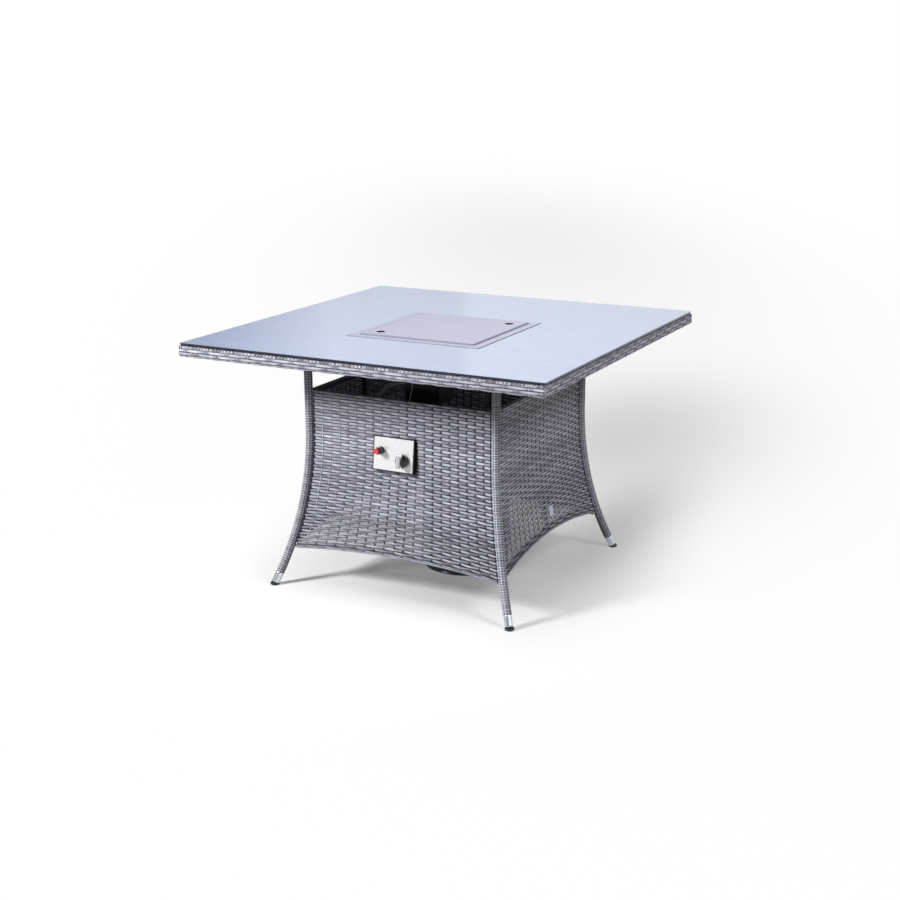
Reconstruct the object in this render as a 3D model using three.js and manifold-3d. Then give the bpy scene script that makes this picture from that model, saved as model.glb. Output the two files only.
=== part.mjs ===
// Gas fire-pit dining table with a woven body, in millimetres.
// +Z is up, X runs along the front edge to the right, Y runs to the back.
// The origin is on the floor under the middle of the tabletop.

import * as THREE from 'three';
import { mergeVertices } from 'three/addons/utils/BufferGeometryUtils.js';
import Module from 'manifold-3d';

const wasm = await Module();
wasm.setup();

// ---- Driving dimensions ----

const SEAT_GAP = 0.3; // between faces that rest on each other
const CUT_OVER = 20; // how far a cutting solid runs past what it cuts

const TOP_WIDTH = 1120; // outer width of the square tabletop
const TOP_HEIGHT = 744; // floor to the top of the glass
const RIM_DEPTH = 39; // glass top to the rim's underside
const RIM_CORNER_RADIUS = 10;
const RIM_EDGE_ROUNDING = 6;
const RIM_LIP_WIDTH = 34; // woven return under the frame tube
const WEAVE_THICKNESS = 3;

const GLASS_THICKNESS = 5;
const GLASS_INSET = 4; // rim edge to glass edge
const GLASS_CUTOUT_GAP = 1.5; // glass to burner flange
const PAD_RADIUS = 6;
const PAD_THICKNESS = 1;
const PAD_INSET = 60; // glass edge to pad centre

const FRAME_TUBE = 25; // square tube, both ways
const FRAME_WALL = 2;
const FRAME_VENT_RADIUS = 3;

const LEG_REACH = 300; // table middle to leg axis, along X and along Y, above the knee
const FOOT_REACH = 386; // the same at the floor
const KNEE_HEIGHT = 470; // the leg is straight above this and curves out below
const LEG_TUBE_RADIUS = 10.5;
const LEG_TUBE_WALL = 1.5;
const LEG_WRAP_THICKNESS = 1.9;
const LEG_PLATE_WIDTH = 60;
const LEG_PLATE_THICKNESS = 4;
const LEG_SIDES = 12;
const LEG_STEPS = 9;
const FERRULE_WALL = 1;
const FERRULE_TOP = 37;
const GLIDE_OVERHANG = 1.7; // past the ferrule
const GLIDE_HEIGHT = 8;
const GLIDE_CHAMFER = 2;
const GLIDE_SOCKET = 2; // how far the leg tube ends above the glide

const PANEL_DROP = 120; // rim underside to the panels' top
const PANEL_THICKNESS = 5;
const PANEL_LEG_GAP = 1; // leg wrap to panel edge
const PANEL_STEPS = 9;
const FRONT_ARCH = { corner: 112, crown: 132 }; // height of the panel's lower edge
const SIDE_ARCH = { corner: 122, crown: 160 };
const PANEL_FRAME_INSET = 1; // panel edge to its frame
const RAIL_DEPTH = 8; // panel frame, across the panel
const RAIL_WIDTH = 14; // panel frame, along the panel
const TAG = { width: 26, height: 29, thickness: 1, y: 25, z: 215 };

const BURNER_X = 16; // middle of the burner
const BURNER_Y = -50;
const TRAY_MOUTH_HALF = 165;
const TRAY_WALL = 1.5;
const TRAY_LEDGE_WIDTH = 8;
const TRAY_LEDGE_DEPTH = 25.5; // flange top to ledge
const TRAY_TUB_DEPTH = 65; // ledge to the tray's underside
const FLANGE_WIDTH = 43;
const FLANGE_ABOVE_GLASS = 1.5;
const DECK_OPENING_GAP = 4; // tray wall to woven deck

const LID_OVERLAP = 17; // past the tray's mouth
const LID_THICKNESS = 3.5;
const LID_SKIRT_DEPTH = 12;
const LID_SKIRT_GAP = 2; // tray mouth to lid skirt
const LID_CORNER_RADIUS = 3;
const FINGER_HOLE_RADIUS = 12.5;
const FINGER_HOLE_INSET_X = 26; // tray mouth to the hole's middle
const FINGER_HOLE_INSET_Y = 29;

const GRATE_GAP = 1; // tray mouth to grate
const GRATE_BAR = 6; // bar width
const GRATE_DEPTH = 7;
const GRATE_BAR_INSET = 1; // the bars are thinner than the frame, above and below
const GRATE_BARS = 11;

const RING_RADIUS = 100; // burner ring, centre line
const RING_TUBE_RADIUS = 8;
const RING_LIFT = 31; // tray underside to centre line
const HUB_RADIUS = 14;
const HUB_LENGTH = 18;
const ROCK_BELOW_LEDGE = 6;
const ROCK_SIDE_GAP = 1; // tray wall to rocks
const ROCK_WALL = 12;
const ROCK_COVER = 18; // depth of rock over the burner ring

const MIXER_RADIUS = 10;
const MIXER_WALL = 1.5;
const MIXER_BEND = 24; // corner to where the pipe runs straight
const MIXER_HOLE_GAP = 0.5;
const AIR_BOX = { width: 110, depth: 90, height: 99, wall: 1.5 };
const AIR_BOX_PROBE_GAP = 5;
const JET_SETBACK = 35; // air box front to jet
const JET_DROP = 53; // tray underside to jet
const JET_RADIUS = 6;
const JET_NUT_RADIUS = 9;
const JET_NUT_LENGTH = 8;
const JET_LENGTH = 30; // inside the air box

const PROBE_RADIUS = 3; // igniter electrode and thermocouple
const PROBE_LENGTH = 42;
const PROBE_BELOW_TRAY = 10;
const PROBE_TIP_RADIUS = 1.2;
const PROBE_TIP_LENGTH = 8;
const PROBE_WALL_GAP = 1; // tray wall to probe
const PROBE_HOLE_GAP = 0.5;
const ELECTRODE_OFFSET = -25; // burner middle to probe, along X
const THERMOCOUPLE_OFFSET = 46;

const PLATE_X = -16; // middle of the control plate's front face
const PLATE_STANDOFF = 10; // out from the panel
const PLATE_Z = 427.5;
const PLATE_LEAN = THREE.MathUtils.degToRad(7); // the plate looks slightly upward
const PLATE_WIDTH = 126;
const PLATE_HEIGHT = 93;
const PLATE_THICKNESS = 1.2;
const BOX_RIM = 2.7; // black rim beside the plate
const BOX_DEPTH = 45;
const BOX_WALL = 2;
const BOX_LEDGE_DEPTH = 3;
const BOX_LEDGE_WIDTH = 6;
const BOX_FIT = 0.4; // control box to panel cut-out

const KNOB_X = 30.4; // on the plate, from its middle
const KNOB_Y = -14.5;
const KNOB_RADIUS = 19;
const KNOB_DISC_DEPTH = 9;
const KNOB_CHAMFER = 2;
const KNOB_BAR_WIDTH = 13;
const KNOB_BAR_DEPTH = 19;
const KNOB_TRAVEL = 3;
const STEM_RADIUS = 4;
const STEM_IN_KNOB = 16;
const PLUG_RADIUS = 6.7;
const PLUG_LENGTH = 26;
const PLUG_SETBACK = 14; // plate front to plug
const PLUG_FLOOR = 5; // closed end of the plug's bore
const VALVE_WIDTH = 28;
const VALVE_NECK_RADIUS = 10;
const VALVE_NECK_LENGTH = 8;
const VALVE_LENGTH = 75; // plate front to the valve's back
const PORT_INSET = 13; // valve's back to the hose ports
const PORT_RADIUS = 7;
const PORT_LENGTH = 20;
const RUNNING_GAP = 0.3;
const STEM_HOLE_GAP = 1; // stem to the plate's hole
const END_GAP = 1; // between a sliding piece at the end of its travel and what is behind it

const IGNITER_X = -41.3; // on the plate, from its middle
const IGNITER_Y = 8.1;
const IGNITER_WALL = 1.1;
const IGNITER_BARREL_LENGTH = 48;
const IGNITER_FLANGE_WIDTH = 3.3; // past the barrel
const IGNITER_FLANGE_DEPTH = 3;
const IGNITER_COLLAR_WIDTH = 1.8;
const IGNITER_COLLAR_DEPTH = 12;
const IGNITER_NUT_WIDTH = 4.3;
const IGNITER_NUT_DEPTH = 6;
const BUTTON_RADIUS = 7.3;
const BUTTON_PROUD = 14; // out of the collar
const BUTTON_SUNK = 8; // behind the plate's front
const BUTTON_TRAVEL = 6;
const BUTTON_CHAMFER = 2;

const BOTTLE_X = 32;
const BOTTLE_Y = 50;
const BOTTLE_RADIUS = 134;
const BOTTLE_WALL = 2.5;
const BOTTLE_SIDE_BOTTOM = 62; // where the straight side starts
const BOTTLE_SIDE_TOP = 330;
const BOTTLE_DOME = 70; // rise of the top dome
const BOTTLE_DISH = 46; // drop of the lower dome
const FOOT_RING_INSET = 6; // bottle side to foot ring
const COLLAR_RADIUS = 76;
const COLLAR_WALL = 2.5;
const COLLAR_RISE = 55; // bottle top to collar top
const COLLAR_WINDOW_WIDTH = 90;
const COLLAR_WINDOW_RISE = 8; // bottle top to the window's lower edge
const COLLAR_BAND = 12; // collar left above its window
const NECK_RADIUS = 13;
const NECK_DEPTH = 12; // valve thread inside the bottle
const BOTTLE_VALVE_HEIGHT = 37; // over the bottle's top
const BOTTLE_VALVE_CAP_RADIUS = 17;
const BOTTLE_VALVE_CAP_HEIGHT = 8;
const BOTTLE_VALVE_TAPER = 4; // neck to cap
const REGULATOR_RADIUS = 24;
const REGULATOR_DOME_RADIUS = 30;
const REGULATOR_HEIGHT = 43;
const REGULATOR_DOME_HEIGHT = 14;
const REGULATOR_DOME_EDGE = 4; // slope under the dome's rim, and over it
const REGULATOR_OUTLET_RISE = 26; // bottle valve to outlet
const REGULATOR_OUTLET_REACH = 62; // regulator axis to the outlet's end
const REGULATOR_OUTLET_RADIUS = 6;
const SWITCH_RADIUS = 20;
const SWITCH_DISC = 6;
const SWITCH_HEIGHT = 14;
const SWITCH_GRIP = 9;

const BURNER_HOSE_RADIUS = 5.5;
const SUPPLY_HOSE_RADIUS = 7;
const LEAD_RADIUS = 1.5;
const HOSE_SIDES = 8;
const LEAD_SIDES = 8;
const HOSE_STEPS = 26;
const LEAD_STEPS = 32;

// ---- Sizes that follow from them ----

const GLASS_BOTTOM = TOP_HEIGHT - GLASS_THICKNESS;
const PAD_TOP = GLASS_BOTTOM - SEAT_GAP;
const DECK_TOP = PAD_TOP - PAD_THICKNESS - SEAT_GAP;
const DECK_UNDERSIDE = DECK_TOP - WEAVE_THICKNESS;
const RIM_UNDERSIDE = TOP_HEIGHT - RIM_DEPTH;
const RIM_HALF = TOP_WIDTH / 2;
const GLASS_HALF = RIM_HALF - GLASS_INSET;
const FRAME_TOP = DECK_UNDERSIDE - SEAT_GAP;
const FRAME_BOTTOM = FRAME_TOP - FRAME_TUBE;
const FRAME_HALF = RIM_HALF - WEAVE_THICKNESS - SEAT_GAP;

const LEG_TOP = FRAME_BOTTOM - SEAT_GAP;
const LEG_WRAP_INNER = LEG_TUBE_RADIUS + SEAT_GAP;
const LEG_WRAP_RADIUS = LEG_WRAP_INNER + LEG_WRAP_THICKNESS;
const FERRULE_RADIUS = LEG_WRAP_INNER + FERRULE_WALL;
const GLIDE_RADIUS = FERRULE_RADIUS + GLIDE_OVERHANG;
const PANEL_TOP = RIM_UNDERSIDE - PANEL_DROP;

const FLANGE_TOP = TOP_HEIGHT + FLANGE_ABOVE_GLASS;
const FLANGE_HALF = TRAY_MOUTH_HALF + FLANGE_WIDTH;
const TRAY_TUB_HALF = TRAY_MOUTH_HALF - TRAY_LEDGE_WIDTH;
const TRAY_OUTER_HALF = TRAY_MOUTH_HALF + TRAY_WALL;
const TRAY_LEDGE_HEIGHT = FLANGE_TOP - TRAY_LEDGE_DEPTH;
const TRAY_FLOOR_HEIGHT = TRAY_LEDGE_HEIGHT - TRAY_TUB_DEPTH; // the tray's underside
const TRAY_INNER_FLOOR = TRAY_FLOOR_HEIGHT + TRAY_WALL;
const LID_HALF = TRAY_MOUTH_HALF + LID_OVERLAP;
const LID_UNDERSIDE = FLANGE_TOP + SEAT_GAP;
const FINGER_HOLE_X = TRAY_MOUTH_HALF - FINGER_HOLE_INSET_X;
const FINGER_HOLE_Y = TRAY_MOUTH_HALF - FINGER_HOLE_INSET_Y;
const RING_HEIGHT = TRAY_FLOOR_HEIGHT + RING_LIFT; // centre line
const ROCK_TOP = TRAY_LEDGE_HEIGHT - ROCK_BELOW_LEDGE;

const ELECTRODE_X = BURNER_X + ELECTRODE_OFFSET;
const THERMOCOUPLE_X = BURNER_X + THERMOCOUPLE_OFFSET;
const PROBE_Y = BURNER_Y - TRAY_TUB_HALF + PROBE_RADIUS + PROBE_WALL_GAP;
const AIR_BOX_LEFT = BURNER_X - AIR_BOX.width / 2;
const AIR_BOX_FRONT = PROBE_Y + PROBE_RADIUS + AIR_BOX_PROBE_GAP;
const AIR_BOX_BACK = AIR_BOX_FRONT + AIR_BOX.depth;
const JET_Y = AIR_BOX_FRONT + JET_SETBACK;
const JET_Z = TRAY_FLOOR_HEIGHT - JET_DROP;

const PLATE_Y = -LEG_REACH - PLATE_STANDOFF;
const KNOB_BACK = KNOB_TRAVEL + 2 * SEAT_GAP;
const PORT_SETBACK = VALVE_LENGTH - PORT_INSET; // plate front to the hose ports
const IGNITER_BARREL_RADIUS = BUTTON_RADIUS + RUNNING_GAP + IGNITER_WALL;

const FOOT_RING_RADIUS = BOTTLE_RADIUS - FOOT_RING_INSET;
const BOTTLE_TOP = BOTTLE_SIDE_TOP + BOTTLE_DOME;
const COLLAR_TOP = BOTTLE_TOP + COLLAR_RISE;
const BOTTLE_VALVE_TOP = BOTTLE_TOP + BOTTLE_VALVE_HEIGHT;
const REGULATOR_OUTLET_Z = BOTTLE_VALVE_TOP + REGULATOR_OUTLET_RISE;

// ---- Solids ----

function at(x, y, z) {
  return new THREE.Vector3(x, y, z);
}

/** A three.js geometry as a solid, with its faces turned outward. */
function solid(geometry) {
  const bare = new THREE.BufferGeometry();
  bare.setAttribute('position', geometry.getAttribute('position'));
  if (geometry.index) bare.setIndex(geometry.index);
  const merged = mergeVertices(bare, 1e-4);
  const points = merged.getAttribute('position').array;
  const corners = Array.from(merged.index.array);
  const faces = [];
  let volume = 0;
  for (let i = 0; i < corners.length; i += 3) {
    const face = corners.slice(i, i + 3);
    if (new Set(face).size < 3) continue;
    const [a, b, c] = face.map((k) => new THREE.Vector3().fromArray(points, 3 * k));
    volume += a.dot(b.cross(c));
    faces.push(face);
  }
  if (volume < 0) faces.forEach((face) => face.reverse());
  return new wasm.Manifold(new wasm.Mesh({
    numProp: 3,
    vertProperties: new Float32Array(points),
    triVerts: new Uint32Array(faces.flat()),
  }));
}

function join(first, ...others) {
  return others.reduce((body, other) => body.add(other), first);
}

function cut(body, ...tools) {
  return tools.reduce((rest, tool) => rest.subtract(tool), body);
}

function geometryOf(body) {
  const mesh = body.getMesh();
  const geometry = new THREE.BufferGeometry();
  geometry.setAttribute('position', new THREE.BufferAttribute(mesh.vertProperties, 3));
  geometry.setIndex(new THREE.BufferAttribute(mesh.triVerts, 1));
  geometry.computeVertexNormals();
  return geometry;
}

/** A box between two corners. */
function box(low, high) {
  const size = high.map((value, axis) => value - low[axis]);
  const geometry = new THREE.BoxGeometry(...size);
  geometry.translate(...high.map((value, axis) => (value + low[axis]) / 2));
  return solid(geometry);
}

/** A box centred on x and y. */
function centredBox(x, y, halfX, halfY, bottom, top) {
  return box([x - halfX, y - halfY, bottom], [x + halfX, y + halfY, top]);
}

/** An outline in X and Y raised from bottom to top. */
function raised(outline, bottom, top) {
  const geometry = new THREE.ExtrudeGeometry(outline, {
    depth: top - bottom, bevelEnabled: false, curveSegments: 4,
  });
  geometry.translate(0, 0, bottom);
  return solid(geometry);
}

/** A profile of [radius, height] points turned about the Z axis. */
function turned(profile, sides = 16) {
  const points = profile.map(([radius, height]) => new THREE.Vector2(radius, height));
  const geometry = new THREE.LatheGeometry(points, sides);
  geometry.rotateX(Math.PI / 2);
  return solid(geometry);
}

/** A cylinder about the Z axis, or a tube if it has an inner radius. */
function rod(radius, bottom, top, inner = 0, sides = 16) {
  if (inner === 0) {
    return turned([[0, bottom], [radius, bottom], [radius, top], [0, top]], sides);
  }
  const ring = [[inner, bottom], [radius, bottom], [radius, top], [inner, top], [inner, bottom]];
  return turned(ring, sides);
}

function roundOutline(radius, sides) {
  const points = [];
  for (let i = 0; i < sides; i += 1) {
    const angle = (2 * Math.PI * i) / sides;
    points.push(new THREE.Vector2(radius * Math.cos(angle), radius * Math.sin(angle)));
  }
  return points;
}

/** A round section swept along a curve, hollow if it has an inner radius. */
function swept(curve, radius, inner, sides, steps) {
  const section = new THREE.Shape(roundOutline(radius, sides));
  if (inner > 0) section.holes.push(new THREE.Path(roundOutline(inner, sides)));
  return solid(new THREE.ExtrudeGeometry(section, { steps, extrudePath: curve }));
}

/** A square outline with rounded corners, centred on the origin. */
function roundedSquare(half, radius) {
  const outline = new THREE.Shape();
  const flat = half - radius;
  outline.moveTo(-flat, -half);
  outline.lineTo(flat, -half);
  outline.absarc(flat, -flat, radius, -Math.PI / 2, 0);
  outline.lineTo(half, flat);
  outline.absarc(flat, flat, radius, 0, Math.PI / 2);
  outline.lineTo(-flat, half);
  outline.absarc(-flat, flat, radius, Math.PI / 2, Math.PI);
  outline.lineTo(-half, -flat);
  outline.absarc(-flat, -flat, radius, Math.PI, 1.5 * Math.PI);
  return outline;
}

// ---- Materials and the scene graph ----

function finish(color, roughness, metalness) {
  return { color, roughness, metalness };
}

const FINISH = {
  rattan: finish(0x9696a0, 0.55, 0),
  blackSteel: finish(0x1c1c1e, 0.5, 0.3),
  glass: finish(0xc8d0e0, 0.05, 0),
  silicone: finish(0xe6e6e6, 0.4, 0),
  satinSteel: finish(0xcdcbd7, 0.32, 0.9),
  mirrorSteel: finish(0xf2f2f4, 0.05, 1),
  chrome: finish(0xe4e4e8, 0.08, 1),
  brass: finish(0xc09a4c, 0.3, 0.9),
  castIron: finish(0x2a2a2c, 0.7, 0.4),
  lavaRock: finish(0x3a302c, 0.95, 0),
  ceramic: finish(0xf0ece4, 0.35, 0),
  aluminium: finish(0xd8d8dc, 0.25, 0.9),
  blackPlastic: finish(0x18181a, 0.45, 0),
  redPlastic: finish(0xe02a34, 0.35, 0),
  greenPaint: finish(0x0c3a2c, 0.35, 0),
  greyHose: finish(0x8e8e92, 0.5, 0.2),
  blackRubber: finish(0x161618, 0.7, 0),
  copper: finish(0xb8764c, 0.35, 0.9),
};

const table = new THREE.Group();

function addPart(parent, name, body, look) {
  const mesh = new THREE.Mesh(geometryOf(body), new THREE.MeshStandardMaterial(look));
  mesh.name = name;
  parent.add(mesh);
}

const CORNERS = [
  { name: 'front_left', x: -1, y: -1 },
  { name: 'front_right', x: 1, y: -1 },
  { name: 'back_right', x: 1, y: 1 },
  { name: 'back_left', x: -1, y: 1 },
];

// ---- Tabletop ----

/** The frame's bars, or the hollow inside them when inset by the wall. */
function frameBars(inset) {
  const bottom = FRAME_BOTTOM + inset;
  const top = FRAME_TOP - inset;
  const corner = RIM_CORNER_RADIUS - WEAVE_THICKNESS;
  const outer = raised(roundedSquare(FRAME_HALF - inset, corner - inset), bottom, top);
  const innerHalf = FRAME_HALF - FRAME_TUBE + inset;
  const ring = cut(outer, centredBox(0, 0, innerHalf, innerHalf, bottom - CUT_OVER, top + CUT_OVER));
  const barHalf = FRAME_TUBE / 2 - inset;
  const ringReach = FRAME_HALF - FRAME_TUBE / 2;
  const beams = [-1, 1].map(
    (side) => centredBox(side * LEG_REACH, 0, barHalf, ringReach, bottom, top),
  );
  const trayReach = TRAY_OUTER_HALF + DECK_OPENING_GAP + FRAME_TUBE / 2;
  const trimmers = [-1, 1].map(
    (side) => centredBox(0, BURNER_Y + side * trayReach, LEG_REACH, barHalf, bottom, top),
  );
  const sides = [-1, 1].map(
    (side) => centredBox(BURNER_X + side * trayReach, BURNER_Y, barHalf, trayReach, bottom, top),
  );
  return join(ring, ...beams, ...trimmers, ...sides);
}

function tabletopFrame() {
  const ventReach = FRAME_HALF - FRAME_TUBE / 2;
  const vents = [-1, 1].map((side) => rod(FRAME_VENT_RADIUS, FRAME_BOTTOM - CUT_OVER,
    FRAME_BOTTOM + FRAME_TUBE / 2, 0, 8).translate([side * ventReach, 0, 0]));
  return cut(frameBars(0), frameBars(FRAME_WALL), ...vents);
}

function tabletopWeave() {
  const rounding = RIM_EDGE_ROUNDING;
  const geometry = new THREE.ExtrudeGeometry(roundedSquare(RIM_HALF, RIM_CORNER_RADIUS), {
    depth: DECK_TOP - RIM_UNDERSIDE - 2 * rounding,
    bevelThickness: rounding,
    bevelSize: rounding,
    bevelOffset: -rounding,
    bevelSegments: 2,
    curveSegments: 4,
  });
  geometry.translate(0, 0, RIM_UNDERSIDE + rounding);
  const inside = raised(
    roundedSquare(RIM_HALF - WEAVE_THICKNESS, RIM_CORNER_RADIUS - WEAVE_THICKNESS),
    RIM_UNDERSIDE + WEAVE_THICKNESS,
    DECK_UNDERSIDE,
  );
  const lipHalf = RIM_HALF - RIM_LIP_WIDTH;
  const under = centredBox(0, 0, lipHalf, lipHalf, RIM_UNDERSIDE - CUT_OVER, DECK_UNDERSIDE);
  const openingHalf = TRAY_OUTER_HALF + DECK_OPENING_GAP;
  const opening = centredBox(BURNER_X, BURNER_Y, openingHalf, openingHalf,
    RIM_UNDERSIDE, DECK_TOP + CUT_OVER);
  return cut(solid(geometry), inside, under, opening);
}

function glassTop() {
  const sheet = raised(
    roundedSquare(GLASS_HALF, RIM_CORNER_RADIUS - GLASS_INSET), GLASS_BOTTOM, TOP_HEIGHT,
  );
  const half = FLANGE_HALF + GLASS_CUTOUT_GAP;
  const cutout = centredBox(BURNER_X, BURNER_Y, half, half,
    GLASS_BOTTOM - CUT_OVER, TOP_HEIGHT + CUT_OVER);
  return cut(sheet, cutout);
}

function addTabletop() {
  addPart(table, 'tabletop_frame', tabletopFrame(), FINISH.blackSteel);
  addPart(table, 'tabletop_weave', tabletopWeave(), FINISH.rattan);
  addPart(table, 'glass_top', glassTop(), FINISH.glass);
  const padReach = GLASS_HALF - PAD_INSET;
  for (const corner of CORNERS) {
    const pad = rod(PAD_RADIUS, PAD_TOP - PAD_THICKNESS, PAD_TOP, 0, 12)
      .translate([corner.x * padReach, corner.y * padReach, 0]);
    addPart(table, `glass_pad_${corner.name}`, pad, FINISH.silicone);
  }
}

// ---- Legs ----

/** How far a leg stands out along X, and along Y, past its upper part. */
function legOffset(height) {
  const drop = Math.max(0, KNEE_HEIGHT - height);
  const spread = Math.SQRT2 * (FOOT_REACH - LEG_REACH);
  const bend = (KNEE_HEIGHT ** 2 + spread ** 2) / (2 * spread);
  return (bend - Math.sqrt(bend ** 2 - drop ** 2)) / Math.SQRT2;
}

class LegCurve extends THREE.Curve {
  constructor(corner) {
    super();
    this.corner = corner;
  }

  getPoint(share) {
    const height = THREE.MathUtils.lerp(LEG_TOP, -CUT_OVER, share);
    const reach = LEG_REACH + legOffset(height);
    return new THREE.Vector3(this.corner.x * reach, this.corner.y * reach, height);
  }
}

/** A leg-shaped tube between two heights. */
function legSleeve(corner, radius, inner, bottom, top) {
  const long = swept(new LegCurve(corner), radius, inner, LEG_SIDES, LEG_STEPS);
  const reach = FOOT_REACH + CUT_OVER + radius;
  return long.intersect(box([-reach, -reach, bottom], [reach, reach, top]));
}

function legTube(corner) {
  const inner = LEG_TUBE_RADIUS - LEG_TUBE_WALL;
  const plateBottom = LEG_TOP - LEG_PLATE_THICKNESS;
  const half = LEG_PLATE_WIDTH / 2;
  const plate = centredBox(corner.x * LEG_REACH, corner.y * LEG_REACH, half, half, plateBottom, LEG_TOP);
  const tube = legSleeve(corner, LEG_TUBE_RADIUS, inner, GLIDE_HEIGHT + GLIDE_SOCKET,
    plateBottom + LEG_PLATE_THICKNESS / 2);
  return join(tube, plate);
}

function addLegs() {
  const wrapTop = LEG_TOP - LEG_PLATE_THICKNESS - SEAT_GAP;
  const glideShape = [
    [0, 0], [GLIDE_RADIUS - GLIDE_CHAMFER / 2, 0], [GLIDE_RADIUS, GLIDE_CHAMFER / 2],
    [GLIDE_RADIUS, GLIDE_HEIGHT - GLIDE_CHAMFER], [FERRULE_RADIUS, GLIDE_HEIGHT], [0, GLIDE_HEIGHT],
  ];
  for (const corner of CORNERS) {
    const glideReach = LEG_REACH + legOffset(GLIDE_HEIGHT);
    const glide = turned(glideShape).translate([corner.x * glideReach, corner.y * glideReach, 0]);
    const wrap = legSleeve(corner, LEG_WRAP_RADIUS, LEG_WRAP_INNER, FERRULE_TOP, wrapTop);
    const ferrule = legSleeve(corner, FERRULE_RADIUS, LEG_WRAP_INNER,
      GLIDE_HEIGHT + SEAT_GAP, FERRULE_TOP - SEAT_GAP);
    addPart(table, `leg_tube_${corner.name}`, legTube(corner), FINISH.blackSteel);
    addPart(table, `leg_wrap_${corner.name}`, wrap, FINISH.rattan);
    addPart(table, `leg_ferrule_${corner.name}`, ferrule, FINISH.aluminium);
    addPart(table, `leg_glide_${corner.name}`, glide, FINISH.blackPlastic);
  }
}

// ---- Side panels, drawn as the front one and turned to each side ----

/** Half of the panel's width at a height, to the clear gap beside the leg. */
function panelHalf(height) {
  return LEG_REACH + legOffset(height) - LEG_WRAP_RADIUS - PANEL_LEG_GAP;
}

/** A sheet that follows the legs' curve, its depths measured inward from the leg axes. */
function curvedSheet(outerDepth, innerDepth, bottom, top) {
  const face = (depth) => {
    const points = [];
    for (let i = 0; i <= PANEL_STEPS; i += 1) {
      const height = THREE.MathUtils.lerp(bottom, Math.min(top, KNEE_HEIGHT), i / PANEL_STEPS);
      points.push(new THREE.Vector2(LEG_REACH + legOffset(height) - depth, height));
    }
    if (top > KNEE_HEIGHT) points.push(new THREE.Vector2(LEG_REACH - depth, top));
    return points;
  };
  const outline = new THREE.Shape([...face(outerDepth), ...face(innerDepth).reverse()]);
  const geometry = new THREE.ExtrudeGeometry(outline, { depth: 2 * FOOT_REACH, bevelEnabled: false });
  geometry.translate(0, 0, -FOOT_REACH);
  // The outline's X becomes -Y, its Y becomes Z and the extrusion runs along X.
  geometry.applyMatrix4(new THREE.Matrix4().makeBasis(
    new THREE.Vector3(0, -1, 0), new THREE.Vector3(0, 0, 1), new THREE.Vector3(-1, 0, 0),
  ));
  return solid(geometry);
}

/** A front-view outline in X and Z, as a solid that is deep along Y. */
function frontCutter(points) {
  const outline = new THREE.Shape(points.map(([x, z]) => new THREE.Vector2(x, z)));
  const geometry = new THREE.ExtrudeGeometry(outline, { depth: 2 * FOOT_REACH, bevelEnabled: false });
  geometry.rotateX(Math.PI / 2);
  return solid(geometry);
}

function archHeight(arch, x, inset) {
  const half = panelHalf(arch.corner);
  return arch.crown - (arch.crown - arch.corner) * (x / half) ** 2 + inset;
}

/** The panel's front view, drawn smaller all round by an inset. */
function panelOutline(arch, inset) {
  const top = PANEL_TOP - inset;
  const points = [];
  const lowerHalf = panelHalf(arch.corner) - inset;
  for (let i = 0; i <= PANEL_STEPS; i += 1) {
    const x = THREE.MathUtils.lerp(-lowerHalf, lowerHalf, i / PANEL_STEPS);
    points.push([x, archHeight(arch, x, inset)]);
  }
  const sideBottom = arch.corner + inset;
  for (let i = 1; i <= PANEL_STEPS; i += 1) {
    const height = THREE.MathUtils.lerp(sideBottom, KNEE_HEIGHT, i / PANEL_STEPS);
    points.push([panelHalf(height) - inset, height]);
  }
  points.push([panelHalf(top) - inset, top]);
  points.push([-panelHalf(top) + inset, top]);
  for (let i = PANEL_STEPS; i >= 1; i -= 1) {
    const height = THREE.MathUtils.lerp(sideBottom, KNEE_HEIGHT, i / PANEL_STEPS);
    points.push([-panelHalf(height) + inset, height]);
  }
  return points;
}

function panelWeave(arch) {
  const sheet = curvedSheet(0, PANEL_THICKNESS, arch.corner - CUT_OVER, PANEL_TOP + CUT_OVER);
  return sheet.intersect(frontCutter(panelOutline(arch, 0)));
}

/** Top rail, arched lower rail, two side rails and a middle upright, welded into one. */
function panelFrame(arch, extra = []) {
  const outer = PANEL_THICKNESS + SEAT_GAP;
  const sheet = curvedSheet(outer, outer + RAIL_DEPTH, arch.corner - CUT_OVER, PANEL_TOP + CUT_OVER);
  const rails = cut(
    frontCutter(panelOutline(arch, PANEL_FRAME_INSET)),
    frontCutter(panelOutline(arch, RAIL_WIDTH)).translate([0, CUT_OVER, 0]),
  );
  const half = RAIL_WIDTH / 2;
  const upright = box([-half, -2 * FOOT_REACH, arch.crown + half], [half, 0, PANEL_TOP - half]);
  return join(rails, upright, ...extra).intersect(sheet);
}

function tagPlate() {
  const half = TAG.width / 2;
  const bottom = TAG.z - TAG.height / 2;
  const top = TAG.z + TAG.height / 2;
  const sheet = curvedSheet(-SEAT_GAP - TAG.thickness, -SEAT_GAP, bottom - CUT_OVER, top + CUT_OVER);
  return sheet.intersect(box([TAG.y - half, -2 * FOOT_REACH, bottom], [TAG.y + half, 0, top]));
}

const SIDES = [
  { name: 'front', turn: 0, arch: FRONT_ARCH },
  { name: 'right', turn: 90, arch: SIDE_ARCH },
  { name: 'back', turn: 180, arch: FRONT_ARCH },
  { name: 'left', turn: 270, arch: SIDE_ARCH },
];

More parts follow.
